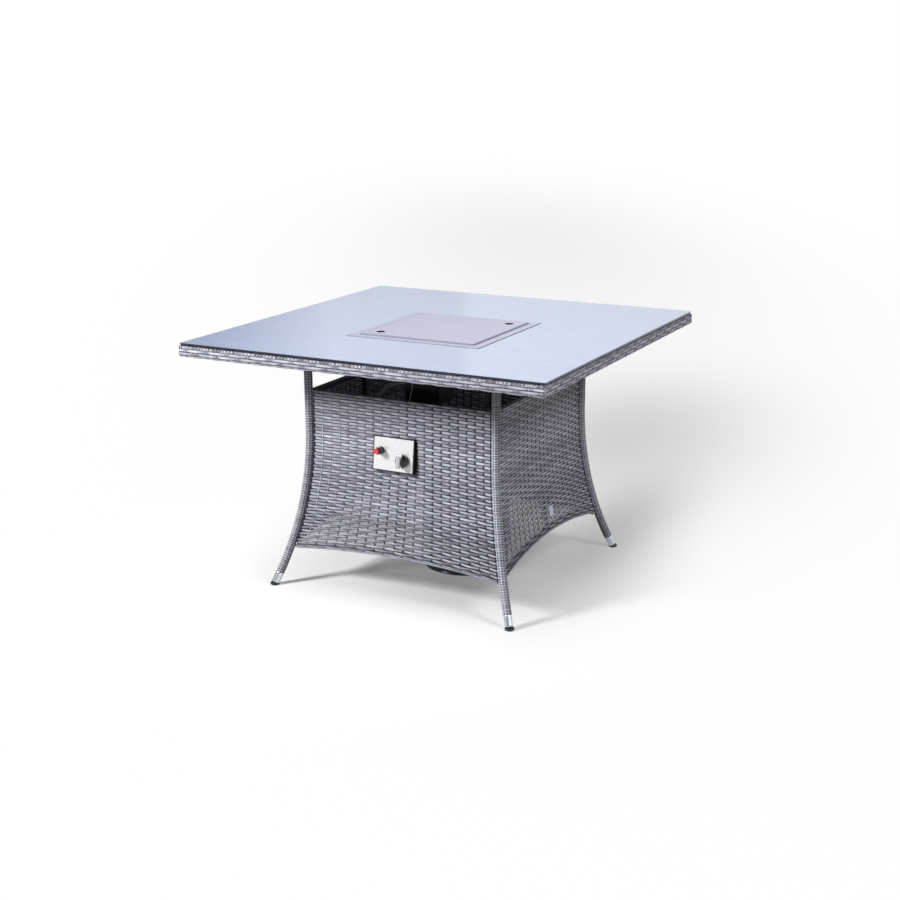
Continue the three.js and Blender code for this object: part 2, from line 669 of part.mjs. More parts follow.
/** The control box's outline on the plate, larger all round by a margin, in the table's frame. */
function controlCutter(margin) {
  const halfX = PLATE_WIDTH / 2 + SEAT_GAP + BOX_RIM + margin;
  const halfY = PLATE_HEIGHT / 2 + SEAT_GAP + BOX_RIM + margin;
  const block = centredBox(0, 0, halfX, halfY, -BOX_DEPTH - CUT_OVER, CUT_OVER);
  return block
    .rotate([90 - THREE.MathUtils.radToDeg(PLATE_LEAN), 0, 0])
    .translate([PLATE_X, PLATE_Y, PLATE_Z]);
}

function addPanels() {
  for (const side of SIDES) {
    const front = side.name === 'front';
    let weave = panelWeave(side.arch);
    let frame = panelFrame(side.arch, front ? [controlCutter(RAIL_WIDTH)] : []);
    if (front) {
      weave = cut(weave, controlCutter(BOX_FIT));
      frame = cut(frame, controlCutter(BOX_FIT));
    }
    const group = new THREE.Group();
    group.rotation.z = THREE.MathUtils.degToRad(side.turn);
    addPart(group, `panel_weave_${side.name}`, weave, FINISH.rattan);
    addPart(group, `panel_frame_${side.name}`, frame, FINISH.blackSteel);
    if (side.name === 'right') addPart(group, 'tag_plate', tagPlate(), FINISH.satinSteel);
    table.add(group);
  }
}

// ---- Burner ----

function burnerTray() {
  const outerMouth = TRAY_OUTER_HALF;
  const outerTub = TRAY_TUB_HALF + TRAY_WALL;
  const flangeBottom = DECK_TOP + SEAT_GAP;
  const hollowHalf = FLANGE_HALF - TRAY_WALL;
  const flange = cut(
    centredBox(0, 0, FLANGE_HALF, FLANGE_HALF, flangeBottom, FLANGE_TOP),
    centredBox(0, 0, hollowHalf, hollowHalf, flangeBottom - CUT_OVER, FLANGE_TOP - TRAY_WALL),
  );
  const shell = join(
    flange,
    centredBox(0, 0, outerMouth, outerMouth, TRAY_LEDGE_HEIGHT - TRAY_WALL, FLANGE_TOP),
    centredBox(0, 0, outerTub, outerTub, TRAY_FLOOR_HEIGHT, TRAY_LEDGE_HEIGHT),
  );
  const mixerHole = rod(MIXER_RADIUS + MIXER_HOLE_GAP, TRAY_FLOOR_HEIGHT - CUT_OVER, RING_HEIGHT);
  const probeHoles = [ELECTRODE_X, THERMOCOUPLE_X].map((x) => rod(PROBE_RADIUS + PROBE_HOLE_GAP,
    TRAY_FLOOR_HEIGHT - CUT_OVER, TRAY_LEDGE_HEIGHT, 0, 12)
    .translate([x - BURNER_X, PROBE_Y - BURNER_Y, 0]));
  return cut(
    shell,
    centredBox(0, 0, TRAY_MOUTH_HALF, TRAY_MOUTH_HALF, TRAY_LEDGE_HEIGHT, FLANGE_TOP + CUT_OVER),
    centredBox(0, 0, TRAY_TUB_HALF, TRAY_TUB_HALF, TRAY_INNER_FLOOR, FLANGE_TOP),
    mixerHole,
    ...probeHoles,
  ).translate([BURNER_X, BURNER_Y, 0]);
}

function burnerRing() {
  const section = roundOutline(RING_TUBE_RADIUS, 8).map((p) => [RING_RADIUS + p.x, p.y]);
  const ring = turned([...section, section[0]], 24);
  const arm = rod(RING_TUBE_RADIUS - 1, -RING_RADIUS, RING_RADIUS, 0, 12).rotate([0, 90, 0]);
  const hub = rod(HUB_RADIUS, -HUB_LENGTH / 2, HUB_LENGTH / 2);
  return join(ring, arm, hub).translate([BURNER_X, BURNER_Y, RING_HEIGHT]);
}

function lavaRockBed() {
  const half = TRAY_TUB_HALF - ROCK_SIDE_GAP;
  const innerHalf = half - ROCK_WALL;
  const bottom = TRAY_INNER_FLOOR + SEAT_GAP;
  const bed = cut(
    centredBox(BURNER_X, BURNER_Y, half, half, bottom, ROCK_TOP),
    centredBox(BURNER_X, BURNER_Y, innerHalf, innerHalf, bottom - CUT_OVER, ROCK_TOP - ROCK_COVER),
  );
  const notches = [ELECTRODE_X, THERMOCOUPLE_X].map((x) => centredBox(x, PROBE_Y,
    PROBE_RADIUS + PROBE_WALL_GAP, ROCK_WALL + PROBE_RADIUS, bottom - CUT_OVER, ROCK_TOP - ROCK_COVER));
  return cut(bed, ...notches);
}

function burnerGrate() {
  const half = TRAY_MOUTH_HALF - GRATE_GAP;
  const bottom = TRAY_LEDGE_HEIGHT + SEAT_GAP;
  const top = bottom + GRATE_DEPTH;
  const innerHalf = half - GRATE_BAR;
  const frame = cut(
    centredBox(0, 0, half, half, bottom, top),
    centredBox(0, 0, innerHalf, innerHalf, bottom - CUT_OVER, top + CUT_OVER),
  );
  const pitch = (2 * innerHalf) / (GRATE_BARS + 1);
  const bars = [];
  for (let i = 1; i <= GRATE_BARS; i += 1) {
    const x = -innerHalf + i * pitch;
    bars.push(centredBox(x, 0, GRATE_BAR / 2, half - GRATE_BAR / 2,
      bottom + GRATE_BAR_INSET, top - GRATE_BAR_INSET));
  }
  return join(frame, ...bars).translate([BURNER_X, BURNER_Y, 0]);
}

function lid() {
  const top = LID_UNDERSIDE + LID_THICKNESS;
  const plate = raised(roundedSquare(LID_HALF, LID_CORNER_RADIUS), LID_UNDERSIDE, top);
  const skirtHalf = TRAY_MOUTH_HALF - LID_SKIRT_GAP;
  const skirt = cut(
    centredBox(0, 0, skirtHalf, skirtHalf, LID_UNDERSIDE - LID_SKIRT_DEPTH, LID_UNDERSIDE + 1),
    centredBox(0, 0, skirtHalf - TRAY_WALL, skirtHalf - TRAY_WALL,
      LID_UNDERSIDE - LID_SKIRT_DEPTH - CUT_OVER, LID_UNDERSIDE + CUT_OVER),
  );
  const holes = [-1, 1].map((side) => rod(FINGER_HOLE_RADIUS, LID_UNDERSIDE - CUT_OVER, top + CUT_OVER)
    .translate([side * FINGER_HOLE_X, side * FINGER_HOLE_Y, 0]));
  return cut(join(plate, skirt), ...holes).translate([BURNER_X, BURNER_Y, 0]);
}

/** Folded black box under the tray, open below, around the jet and the air mixer. */
function airBox() {
  const half = AIR_BOX.width / 2;
  const top = TRAY_FLOOR_HEIGHT - SEAT_GAP;
  const wall = AIR_BOX.wall;
  const bottom = TRAY_FLOOR_HEIGHT - AIR_BOX.height;
  const shell = cut(
    box([BURNER_X - half, AIR_BOX_FRONT, bottom], [BURNER_X + half, AIR_BOX_BACK, top]),
    box([BURNER_X - half + wall, AIR_BOX_FRONT + wall, bottom - CUT_OVER],
      [BURNER_X + half - wall, AIR_BOX_BACK - wall, top - wall]),
  );
  const jetHole = rod(JET_RADIUS + MIXER_HOLE_GAP, -CUT_OVER, CUT_OVER, 0, 12)
    .rotate([0, 90, 0]).translate([AIR_BOX_LEFT, JET_Y, JET_Z]);
  const mixerHole = rod(MIXER_RADIUS + MIXER_HOLE_GAP, -CUT_OVER, CUT_OVER)
    .rotate([90, 0, 0]).translate([BURNER_X, AIR_BOX_BACK, JET_Z]);
  return cut(shell, jetHole, mixerHole);
}

function gasJet() {
  const nutEnd = -SEAT_GAP;
  const profile = [
    [0, nutEnd - JET_NUT_LENGTH], [JET_NUT_RADIUS, nutEnd - JET_NUT_LENGTH], [JET_NUT_RADIUS, nutEnd],
    [JET_RADIUS, nutEnd], [JET_RADIUS, JET_LENGTH - JET_RADIUS], [JET_RADIUS / 2, JET_LENGTH],
    [0, JET_LENGTH],
  ];
  return turned(profile, 12).rotate([0, 90, 0]).translate([AIR_BOX_LEFT, JET_Y, JET_Z]);
}

/** Pipe from the jet, back under the tray and up to the burner's hub. */
function mixerTube() {
  const start = AIR_BOX_LEFT + JET_LENGTH + SEAT_GAP;
  const bend = MIXER_BEND;
  const top = RING_HEIGHT - HUB_LENGTH / 2 - SEAT_GAP;
  const path = new THREE.CurvePath();
  const corner1 = at(BURNER_X, JET_Y, JET_Z);
  const corner2 = at(BURNER_X, BURNER_Y, JET_Z);
  path.add(new THREE.LineCurve3(at(start, JET_Y, JET_Z), at(BURNER_X - bend, JET_Y, JET_Z)));
  path.add(new THREE.QuadraticBezierCurve3(
    at(BURNER_X - bend, JET_Y, JET_Z), corner1, at(BURNER_X, JET_Y + bend, JET_Z),
  ));
  path.add(new THREE.LineCurve3(at(BURNER_X, JET_Y + bend, JET_Z), at(BURNER_X, BURNER_Y - bend, JET_Z)));
  path.add(new THREE.QuadraticBezierCurve3(
    at(BURNER_X, BURNER_Y - bend, JET_Z), corner2, at(BURNER_X, BURNER_Y, JET_Z + bend),
  ));
  path.add(new THREE.LineCurve3(at(BURNER_X, BURNER_Y, JET_Z + bend), at(BURNER_X, BURNER_Y, top)));
  return swept(path, MIXER_RADIUS, MIXER_RADIUS - MIXER_WALL, 10, 16);
}

function probe(x) {
  const bottom = TRAY_FLOOR_HEIGHT - PROBE_BELOW_TRAY;
  const shoulder = bottom + PROBE_LENGTH - PROBE_TIP_LENGTH;
  const profile = [
    [0, bottom], [PROBE_RADIUS, bottom], [PROBE_RADIUS, shoulder], [PROBE_TIP_RADIUS, shoulder + 1],
    [PROBE_TIP_RADIUS, bottom + PROBE_LENGTH], [0, bottom + PROBE_LENGTH],
  ];
  return turned(profile, 10).translate([x, PROBE_Y, 0]);
}

function addBurner() {
  addPart(table, 'burner_tray', burnerTray(), FINISH.satinSteel);
  addPart(table, 'burner_ring', burnerRing(), FINISH.satinSteel);
  addPart(table, 'lava_rock_bed', lavaRockBed(), FINISH.lavaRock);
  addPart(table, 'burner_grate', burnerGrate(), FINISH.castIron);
  addPart(table, 'lid', lid(), FINISH.satinSteel);
  addPart(table, 'air_box', airBox(), FINISH.blackSteel);
  addPart(table, 'gas_jet', gasJet(), FINISH.brass);
  addPart(table, 'mixer_tube', mixerTube(), FINISH.satinSteel);
  addPart(table, 'igniter_electrode', probe(ELECTRODE_X), FINISH.ceramic);
  addPart(table, 'thermocouple', probe(THERMOCOUPLE_X), FINISH.copper);
}

// ---- Controls, drawn with the plate's front face at z = 0 and X and Y along the plate ----

function controlBox() {
  const mouthX = PLATE_WIDTH / 2 + SEAT_GAP;
  const mouthY = PLATE_HEIGHT / 2 + SEAT_GAP;
  const plateBack = -PLATE_THICKNESS - SEAT_GAP;
  const ledge = BOX_LEDGE_WIDTH;
  const inner = BOX_RIM - BOX_WALL;
  return cut(
    centredBox(0, 0, mouthX + BOX_RIM, mouthY + BOX_RIM, -BOX_DEPTH, 0),
    centredBox(0, 0, mouthX, mouthY, plateBack, CUT_OVER),
    centredBox(0, 0, mouthX - ledge, mouthY - ledge, -BOX_DEPTH, CUT_OVER),
    centredBox(0, 0, mouthX + inner, mouthY + inner, -BOX_DEPTH - CUT_OVER, plateBack - BOX_LEDGE_DEPTH),
  );
}

function controlPlate() {
  const stemHole = rod(STEM_RADIUS + STEM_HOLE_GAP, -CUT_OVER, CUT_OVER).translate([KNOB_X, KNOB_Y, 0]);
  const igniterHole = rod(IGNITER_BARREL_RADIUS + SEAT_GAP, -CUT_OVER, CUT_OVER)
    .translate([IGNITER_X, IGNITER_Y, 0]);
  return cut(
    centredBox(0, 0, PLATE_WIDTH / 2, PLATE_HEIGHT / 2, -PLATE_THICKNESS, 0), stemHole, igniterHole,
  );
}

/** Brass valve behind the plate, its outlet to the left and its inlet below. */
function valveBody() {
  const half = VALVE_WIDTH / 2;
  const front = -PLATE_THICKNESS - SEAT_GAP;
  const neck = rod(VALVE_NECK_RADIUS, front - VALVE_NECK_LENGTH - 1, front);
  const block = centredBox(0, 0, half, half, -VALVE_LENGTH, front - VALVE_NECK_LENGTH);
  const port = rod(PORT_RADIUS, 0, half + PORT_LENGTH, 0, 12);
  const outlet = port.rotate([0, -90, 0]).translate([0, 0, -PORT_SETBACK]);
  const inlet = port.rotate([90, 0, 0]).translate([0, 0, -PORT_SETBACK]);
  const boreEnd = -PLUG_SETBACK - PLUG_LENGTH - SEAT_GAP;
  const bore = rod(PLUG_RADIUS + RUNNING_GAP, boreEnd, CUT_OVER);
  return cut(join(neck, block, outlet, inlet), bore).translate([KNOB_X, KNOB_Y, 0]);
}

function valvePlug() {
  const front = -PLUG_SETBACK;
  const back = front - PLUG_LENGTH;
  const bore = STEM_RADIUS + RUNNING_GAP;
  const profile = [
    [0, back], [PLUG_RADIUS, back], [PLUG_RADIUS, front], [bore, front],
    [bore, back + PLUG_FLOOR], [0, back + PLUG_FLOOR],
  ];
  return turned(profile).translate([KNOB_X, KNOB_Y, 0]);
}

function valveStem() {
  const end = -PLUG_SETBACK - PLUG_LENGTH + PLUG_FLOOR + KNOB_TRAVEL + END_GAP;
  return rod(STEM_RADIUS, end, KNOB_BACK + STEM_IN_KNOB).translate([KNOB_X, KNOB_Y, 0]);
}

function gasKnob() {
  const discTop = KNOB_BACK + KNOB_DISC_DEPTH;
  const disc = turned([
    [0, KNOB_BACK], [KNOB_RADIUS, KNOB_BACK], [KNOB_RADIUS, discTop - KNOB_CHAMFER],
    [KNOB_RADIUS - KNOB_CHAMFER, discTop], [0, discTop],
  ], 24);
  const bar = centredBox(0, 0, KNOB_BAR_WIDTH / 2, KNOB_RADIUS, discTop - 1, discTop + KNOB_BAR_DEPTH)
    .intersect(rod(KNOB_RADIUS - 0.5, 0, discTop + KNOB_BAR_DEPTH, 0, 24));
  const bore = rod(STEM_RADIUS + SEAT_GAP, -CUT_OVER, KNOB_BACK + STEM_IN_KNOB + SEAT_GAP);
  return cut(join(disc, bar), bore).translate([KNOB_X, KNOB_Y, 0]);
}

function igniterHousing() {
  const bore = BUTTON_RADIUS + RUNNING_GAP;
  const boreEnd = -BUTTON_SUNK - BUTTON_TRAVEL - END_GAP;
  const flangeBack = SEAT_GAP;
  const flange = IGNITER_BARREL_RADIUS + IGNITER_FLANGE_WIDTH;
  const collar = IGNITER_BARREL_RADIUS + IGNITER_COLLAR_WIDTH;
  const profile = [
    [0, -IGNITER_BARREL_LENGTH], [IGNITER_BARREL_RADIUS, -IGNITER_BARREL_LENGTH],
    [IGNITER_BARREL_RADIUS, flangeBack], [flange, flangeBack],
    [flange, IGNITER_FLANGE_DEPTH], [collar, IGNITER_FLANGE_DEPTH + 1],
    [collar, IGNITER_COLLAR_DEPTH], [bore, IGNITER_COLLAR_DEPTH],
    [bore, boreEnd], [0, boreEnd],
  ];
  return turned(profile).translate([IGNITER_X, IGNITER_Y, 0]);
}

function igniterNut() {
  const front = -PLATE_THICKNESS - SEAT_GAP;
  const hexagon = rod(IGNITER_BARREL_RADIUS + IGNITER_NUT_WIDTH, front - IGNITER_NUT_DEPTH, front, 0, 6);
  const hole = rod(IGNITER_BARREL_RADIUS + SEAT_GAP, -IGNITER_BARREL_LENGTH, CUT_OVER);
  return cut(hexagon, hole).translate([IGNITER_X, IGNITER_Y, 0]);
}

function igniterButton() {
  const front = IGNITER_COLLAR_DEPTH + BUTTON_PROUD;
  return turned([
    [0, -BUTTON_SUNK], [BUTTON_RADIUS, -BUTTON_SUNK], [BUTTON_RADIUS, front - BUTTON_CHAMFER],
    [BUTTON_RADIUS - BUTTON_CHAMFER, front], [0, front],
  ]).translate([IGNITER_X, IGNITER_Y, 0]);
}

const controls = new THREE.Group();
controls.position.set(PLATE_X, PLATE_Y, PLATE_Z);
controls.rotation.x = Math.PI / 2 - PLATE_LEAN;
controls.updateMatrix();
table.add(controls);

/** A point of the control plate's frame, in the table's frame. */
function fromPlate(x, y, z) {
  return new THREE.Vector3(x, y, z).applyMatrix4(controls.matrix);
}

function addControls() {
  addPart(controls, 'control_box', controlBox(), FINISH.blackSteel);
  addPart(controls, 'control_plate', controlPlate(), FINISH.mirrorSteel);
  addPart(controls, 'valve_body', valveBody(), FINISH.brass);
  addPart(controls, 'valve_plug', valvePlug(), FINISH.brass);
  addPart(controls, 'valve_stem', valveStem(), FINISH.satinSteel);
  addPart(controls, 'gas_knob', gasKnob(), FINISH.chrome);
  addPart(controls, 'igniter_housing', igniterHousing(), FINISH.blackPlastic);
  addPart(controls, 'igniter_nut', igniterNut(), FINISH.blackPlastic);
  addPart(controls, 'igniter_button', igniterButton(), FINISH.redPlastic);
}

// ---- Gas bottle and regulator ----

/** Half of a dome's outline, from its rim to where the radius falls to an end value. */
function domeOutline(radius, rise, base, endRadius, steps) {
  const endAngle = Math.acos(endRadius / radius);
  const points = [];
  for (let i = 0; i <= steps; i += 1) {
    const angle = (endAngle * i) / steps;
    points.push([radius * Math.cos(angle), base + rise * Math.sin(angle)]);
  }
  return points;
}

/** The bottle's outer form, or its hollow when inset by the wall, closed at the neck. */
function bottleForm(inset) {
  const neck = NECK_RADIUS + SEAT_GAP;
  const radius = BOTTLE_RADIUS - inset;
  const dome = domeOutline(radius, BOTTLE_DOME - inset, BOTTLE_SIDE_TOP, neck, 5);
  const dish = domeOutline(radius, inset - BOTTLE_DISH, BOTTLE_SIDE_BOTTOM, 1, 4).slice(1, -1).reverse();
  const top = dome.at(-1)[1];
  return turned([
    [0, BOTTLE_SIDE_BOTTOM - BOTTLE_DISH + inset], ...dish, [radius, BOTTLE_SIDE_BOTTOM], ...dome, [0, top],
  ], 24);
}

function gasBottle() {
  const ring = rod(FOOT_RING_RADIUS, 0, BOTTLE_SIDE_BOTTOM, FOOT_RING_RADIUS - BOTTLE_WALL, 24);
  const neckHole = rod(NECK_RADIUS + SEAT_GAP, BOTTLE_SIDE_TOP, BOTTLE_TOP + CUT_OVER, 0, 24);
  return cut(join(bottleForm(0), ring), bottleForm(BOTTLE_WALL), neckHole)
    .translate([BOTTLE_X, BOTTLE_Y, 0]);
}

function bottleCollar() {
  const half = COLLAR_WINDOW_WIDTH / 2;
  const ring = rod(COLLAR_RADIUS, BOTTLE_SIDE_TOP, COLLAR_TOP, COLLAR_RADIUS - COLLAR_WALL, 24);
  const window = box([-half, 0, BOTTLE_TOP + COLLAR_WINDOW_RISE],
    [half, 2 * COLLAR_RADIUS, COLLAR_TOP - COLLAR_BAND]);
  return cut(ring, bottleForm(-SEAT_GAP), window).translate([BOTTLE_X, BOTTLE_Y, 0]);
}

function bottleValve() {
  const neckTop = BOTTLE_TOP;
  const waist = NECK_RADIUS + 1;
  const capBottom = BOTTLE_VALVE_TOP - BOTTLE_VALVE_CAP_HEIGHT;
  return turned([
    [0, neckTop - NECK_DEPTH], [NECK_RADIUS, neckTop - NECK_DEPTH], [NECK_RADIUS, neckTop + SEAT_GAP],
    [waist, neckTop + SEAT_GAP], [waist, capBottom - BOTTLE_VALVE_TAPER],
    [BOTTLE_VALVE_CAP_RADIUS, capBottom], [BOTTLE_VALVE_CAP_RADIUS, BOTTLE_VALVE_TOP],
    [0, BOTTLE_VALVE_TOP],
  ]).translate([BOTTLE_X, BOTTLE_Y, 0]);
}

function regulator() {
  const bottom = BOTTLE_VALVE_TOP + SEAT_GAP;
  const top = bottom + REGULATOR_HEIGHT;
  const domeBottom = top - REGULATOR_DOME_HEIGHT;
  const body = turned([
    [0, bottom], [REGULATOR_RADIUS, bottom], [REGULATOR_RADIUS, domeBottom - REGULATOR_DOME_EDGE],
    [REGULATOR_DOME_RADIUS, domeBottom], [REGULATOR_DOME_RADIUS, top - REGULATOR_DOME_EDGE],
    [REGULATOR_RADIUS, top], [0, top],
  ]);
  const outlet = rod(REGULATOR_OUTLET_RADIUS, 0, REGULATOR_OUTLET_REACH, 0, 12)
    .rotate([0, -90, 0]).translate([0, 0, REGULATOR_OUTLET_Z]);
  return join(body, outlet).translate([BOTTLE_X, BOTTLE_Y, 0]);
}

function regulatorSwitch() {
  const bottom = BOTTLE_VALVE_TOP + REGULATOR_HEIGHT + 2 * SEAT_GAP;
  const disc = rod(SWITCH_RADIUS, bottom, bottom + SWITCH_DISC);
  const grip = centredBox(0, 0, SWITCH_RADIUS - 1, SWITCH_GRIP / 2, bottom + 1, bottom + SWITCH_HEIGHT);
  return join(disc, grip).translate([BOTTLE_X, BOTTLE_Y, 0]);
}

function addGasSupply() {
  addPart(table, 'gas_bottle', gasBottle(), FINISH.greenPaint);
  addPart(table, 'bottle_collar', bottleCollar(), FINISH.greenPaint);
  addPart(table, 'bottle_valve', bottleValve(), FINISH.brass);
  addPart(table, 'regulator', regulator(), FINISH.aluminium);
  addPart(table, 'regulator_switch', regulatorSwitch(), FINISH.blackPlastic);
}

// ---- Hoses and leads ----

function routeCurve(points) {
  return new THREE.CatmullRomCurve3(points, false, 'centripetal');
}

/** From the valve's outlet, in a loop to the left, up to the jet's nut. */
function burnerHoseRoute() {
  const portEnd = KNOB_X - VALVE_WIDTH / 2 - PORT_LENGTH;
  const nutEnd = AIR_BOX_LEFT - JET_NUT_LENGTH - SEAT_GAP;
  return [
    fromPlate(portEnd - SEAT_GAP, KNOB_Y, -PORT_SETBACK),
    fromPlate(portEnd - 14, KNOB_Y, -PORT_SETBACK),
    at(-61, -248.5, 408.7), at(-86, -244, 418.8), at(-109, -236.8, 434.5), at(-127, -227.5, 454.7),
    at(-142, -205, 503.8), at(-138, -182.5, 552.9), at(-126, -173, 573), at(-109.4, -166, 588.8),
    at(-88, -161.5, 598.5),
    at(nutEnd - 14, JET_Y, JET_Z),
    at(nutEnd - SEAT_GAP, JET_Y, JET_Z),
  ];
}

/** From the regulator's outlet, round the bottle's left, to the valve's inlet. */
function supplyHoseRoute() {
  const outletEnd = BOTTLE_X - REGULATOR_OUTLET_REACH;
  const inletEnd = KNOB_Y - VALVE_WIDTH / 2 - PORT_LENGTH;
  return [
    at(outletEnd - SEAT_GAP, BOTTLE_Y, REGULATOR_OUTLET_Z),
    at(outletEnd - 26, BOTTLE_Y, REGULATOR_OUTLET_Z),
    at(-75.5, 48, 461.6), at(-94.5, 41.9, 457.6), at(-127, 22.3, 444.6), at(-150.4, -5.1, 426.3),
    at(-164.1, -36.8, 404.7), at(-169, -70.1, 381.3), at(-166.1, -103, 357.1), at(-157, -133, 334),
    at(-143, -161, 314), at(-120.6, -187.1, 295.9), at(-91.6, -212.4, 282.9), at(-57.8, -233.8, 280.6),
    at(-23.5, -249.2, 293), at(3.8, -256.7, 320.5), at(12.3, -257, 340),
    fromPlate(KNOB_X, inletEnd - 14, -PORT_SETBACK),
    fromPlate(KNOB_X, inletEnd - SEAT_GAP, -PORT_SETBACK),
  ];
}

/** From the igniter's back, up in front of the air box, to the electrode. */
function igniterLeadRoute() {
  const end = TRAY_FLOOR_HEIGHT - PROBE_BELOW_TRAY - SEAT_GAP;
  return [
    fromPlate(IGNITER_X, IGNITER_Y, -IGNITER_BARREL_LENGTH - SEAT_GAP),
    at(-57, -251, 429), at(-55, -240, 434), at(-49, -230, 452), at(-39, -223, 484), at(-26, -217, 528),
    at(-15, -211, 572), at(-10, -206, 608),
    at(ELECTRODE_X, PROBE_Y, end - 12),
    at(ELECTRODE_X, PROBE_Y, end),
  ];
}

/** From the valve's back, up in front of the air box, to the thermocouple. */
function thermocoupleLeadRoute() {
  const end = TRAY_FLOOR_HEIGHT - PROBE_BELOW_TRAY - SEAT_GAP;
  return [
    fromPlate(KNOB_X, KNOB_Y, -VALVE_LENGTH - SEAT_GAP),
    at(14.6, -228, 403.2), at(17.5, -217, 408), at(24, -211.5, 421), at(34, -211, 445), at(44, -211, 482),
    at(52, -211, 525), at(58, -210, 570), at(61, -207, 608),
    at(THERMOCOUPLE_X, PROBE_Y, end - 12),
    at(THERMOCOUPLE_X, PROBE_Y, end),
  ];
}

function addHose(name, route, radius, sides, steps, look) {
  addPart(table, name, swept(routeCurve(route), radius, 0, sides, steps), look);
}

function addHoses() {
  addHose('burner_hose', burnerHoseRoute(), BURNER_HOSE_RADIUS, HOSE_SIDES, HOSE_STEPS, FINISH.greyHose);
  addHose('supply_hose', supplyHoseRoute(), SUPPLY_HOSE_RADIUS, HOSE_SIDES, HOSE_STEPS, FINISH.blackRubber);
  addHose('igniter_lead', igniterLeadRoute(), LEAD_RADIUS, LEAD_SIDES, LEAD_STEPS, FINISH.silicone);
  addHose('thermocouple_lead', thermocoupleLeadRoute(), LEAD_RADIUS, LEAD_SIDES, LEAD_STEPS, FINISH.copper);
}

addTabletop();
addLegs();
addPanels();
addBurner();
addControls();
addGasSupply();
addHoses();

export default table;
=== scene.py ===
# Gas fire-pit dining table with a woven body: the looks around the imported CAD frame.
# Shapes are drawn in millimetres in the CAD's frame and made in metres.
# +Z is up, X runs along the front edge to the right, Y runs to the back.

import math

import bmesh
import bpy
import numpy as np
from mathutils import Matrix, Vector, noise


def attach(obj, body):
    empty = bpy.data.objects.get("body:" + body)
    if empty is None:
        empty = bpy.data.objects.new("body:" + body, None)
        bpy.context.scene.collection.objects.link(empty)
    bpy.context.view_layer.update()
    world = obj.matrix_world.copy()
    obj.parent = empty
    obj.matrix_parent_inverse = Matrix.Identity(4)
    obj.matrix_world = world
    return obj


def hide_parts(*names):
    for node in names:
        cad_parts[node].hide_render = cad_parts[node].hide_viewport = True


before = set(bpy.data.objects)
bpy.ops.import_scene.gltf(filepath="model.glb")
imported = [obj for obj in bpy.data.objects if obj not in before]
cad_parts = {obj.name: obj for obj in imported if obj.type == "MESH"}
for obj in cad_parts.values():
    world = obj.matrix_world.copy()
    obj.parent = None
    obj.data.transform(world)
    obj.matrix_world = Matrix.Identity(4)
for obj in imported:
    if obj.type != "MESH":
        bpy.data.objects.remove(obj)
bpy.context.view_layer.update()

MM = 0.001
rng = np.random.default_rng(11)

# ---- Sizes that the CAD settles, in mm ----

CORNERS = {"front_left": (-1, -1), "front_right": (1, -1), "back_right": (1, 1), "back_left": (-1, 1)}
TOP_HALF = 560
RIM_CORNER = 10
RIM_ROUNDING = 6
RIM_TOP = 737.4
RIM_BOTTOM = 705
GLASS_HALF = 556
GLASS_LOW, GLASS_HIGH = 739, 744
CUTOUT_HALF = 209.5
BURNER = (16, -50)
FLANGE_HALF = 208
FLANGE_TOP = 745.5
FLANGE_LIP = 737.7  # the lower edge of the rim that hangs from the flange
MOUTH_HALF = 165
TUB_HALF = 157
LEDGE = 720
TRAY_LOW = 655
WALL = 1.5
LID_HALF = 182
LID_LOW = 745.8
LID_THICKNESS = 3.5
LID_HOLES = [(-123, -186), (155, 86)]
LID_HOLE_RADIUS = 12.5
LID_CHAMFER = (5, 0.8)  # inwards and down

LEG_REACH = 300
FOOT_REACH = 386
KNEE = 470
LEG_WRAP_RADIUS = 12.7
PANEL_TOP = 585
SIDES = {
    "front": (0, 112, 132),  # turn in degrees, lower edge at the corners and at the crown
    "right": (90, 122, 160),
    "back": (180, 112, 132),
    "left": (270, 122, 160),
}
CONTROL_HOLE = (-82.5, 50.5, 378, 477)  # x from, x to, z from, z to

PLATE_CENTRE = (-16, -310, 427.5)
PLATE_LEAN = math.radians(7)
KNOB_AT = (30.4, -14.5)
IGNITER_AT = (-41.3, 8.1)
BOTTLE = (32, 50)


# ---- Materials ----

FINISH = {}  # each finish by its name, filled by Nodes.finish


def linear(r, g, b):
    """An 8-bit sRGB colour as linear RGBA."""
    def curve(c):
        return c / 12.92 if c <= 0.04045 else ((c + 0.055) / 1.055) ** 2.4

    return (*(curve(c / 255) for c in (r, g, b)), 1)


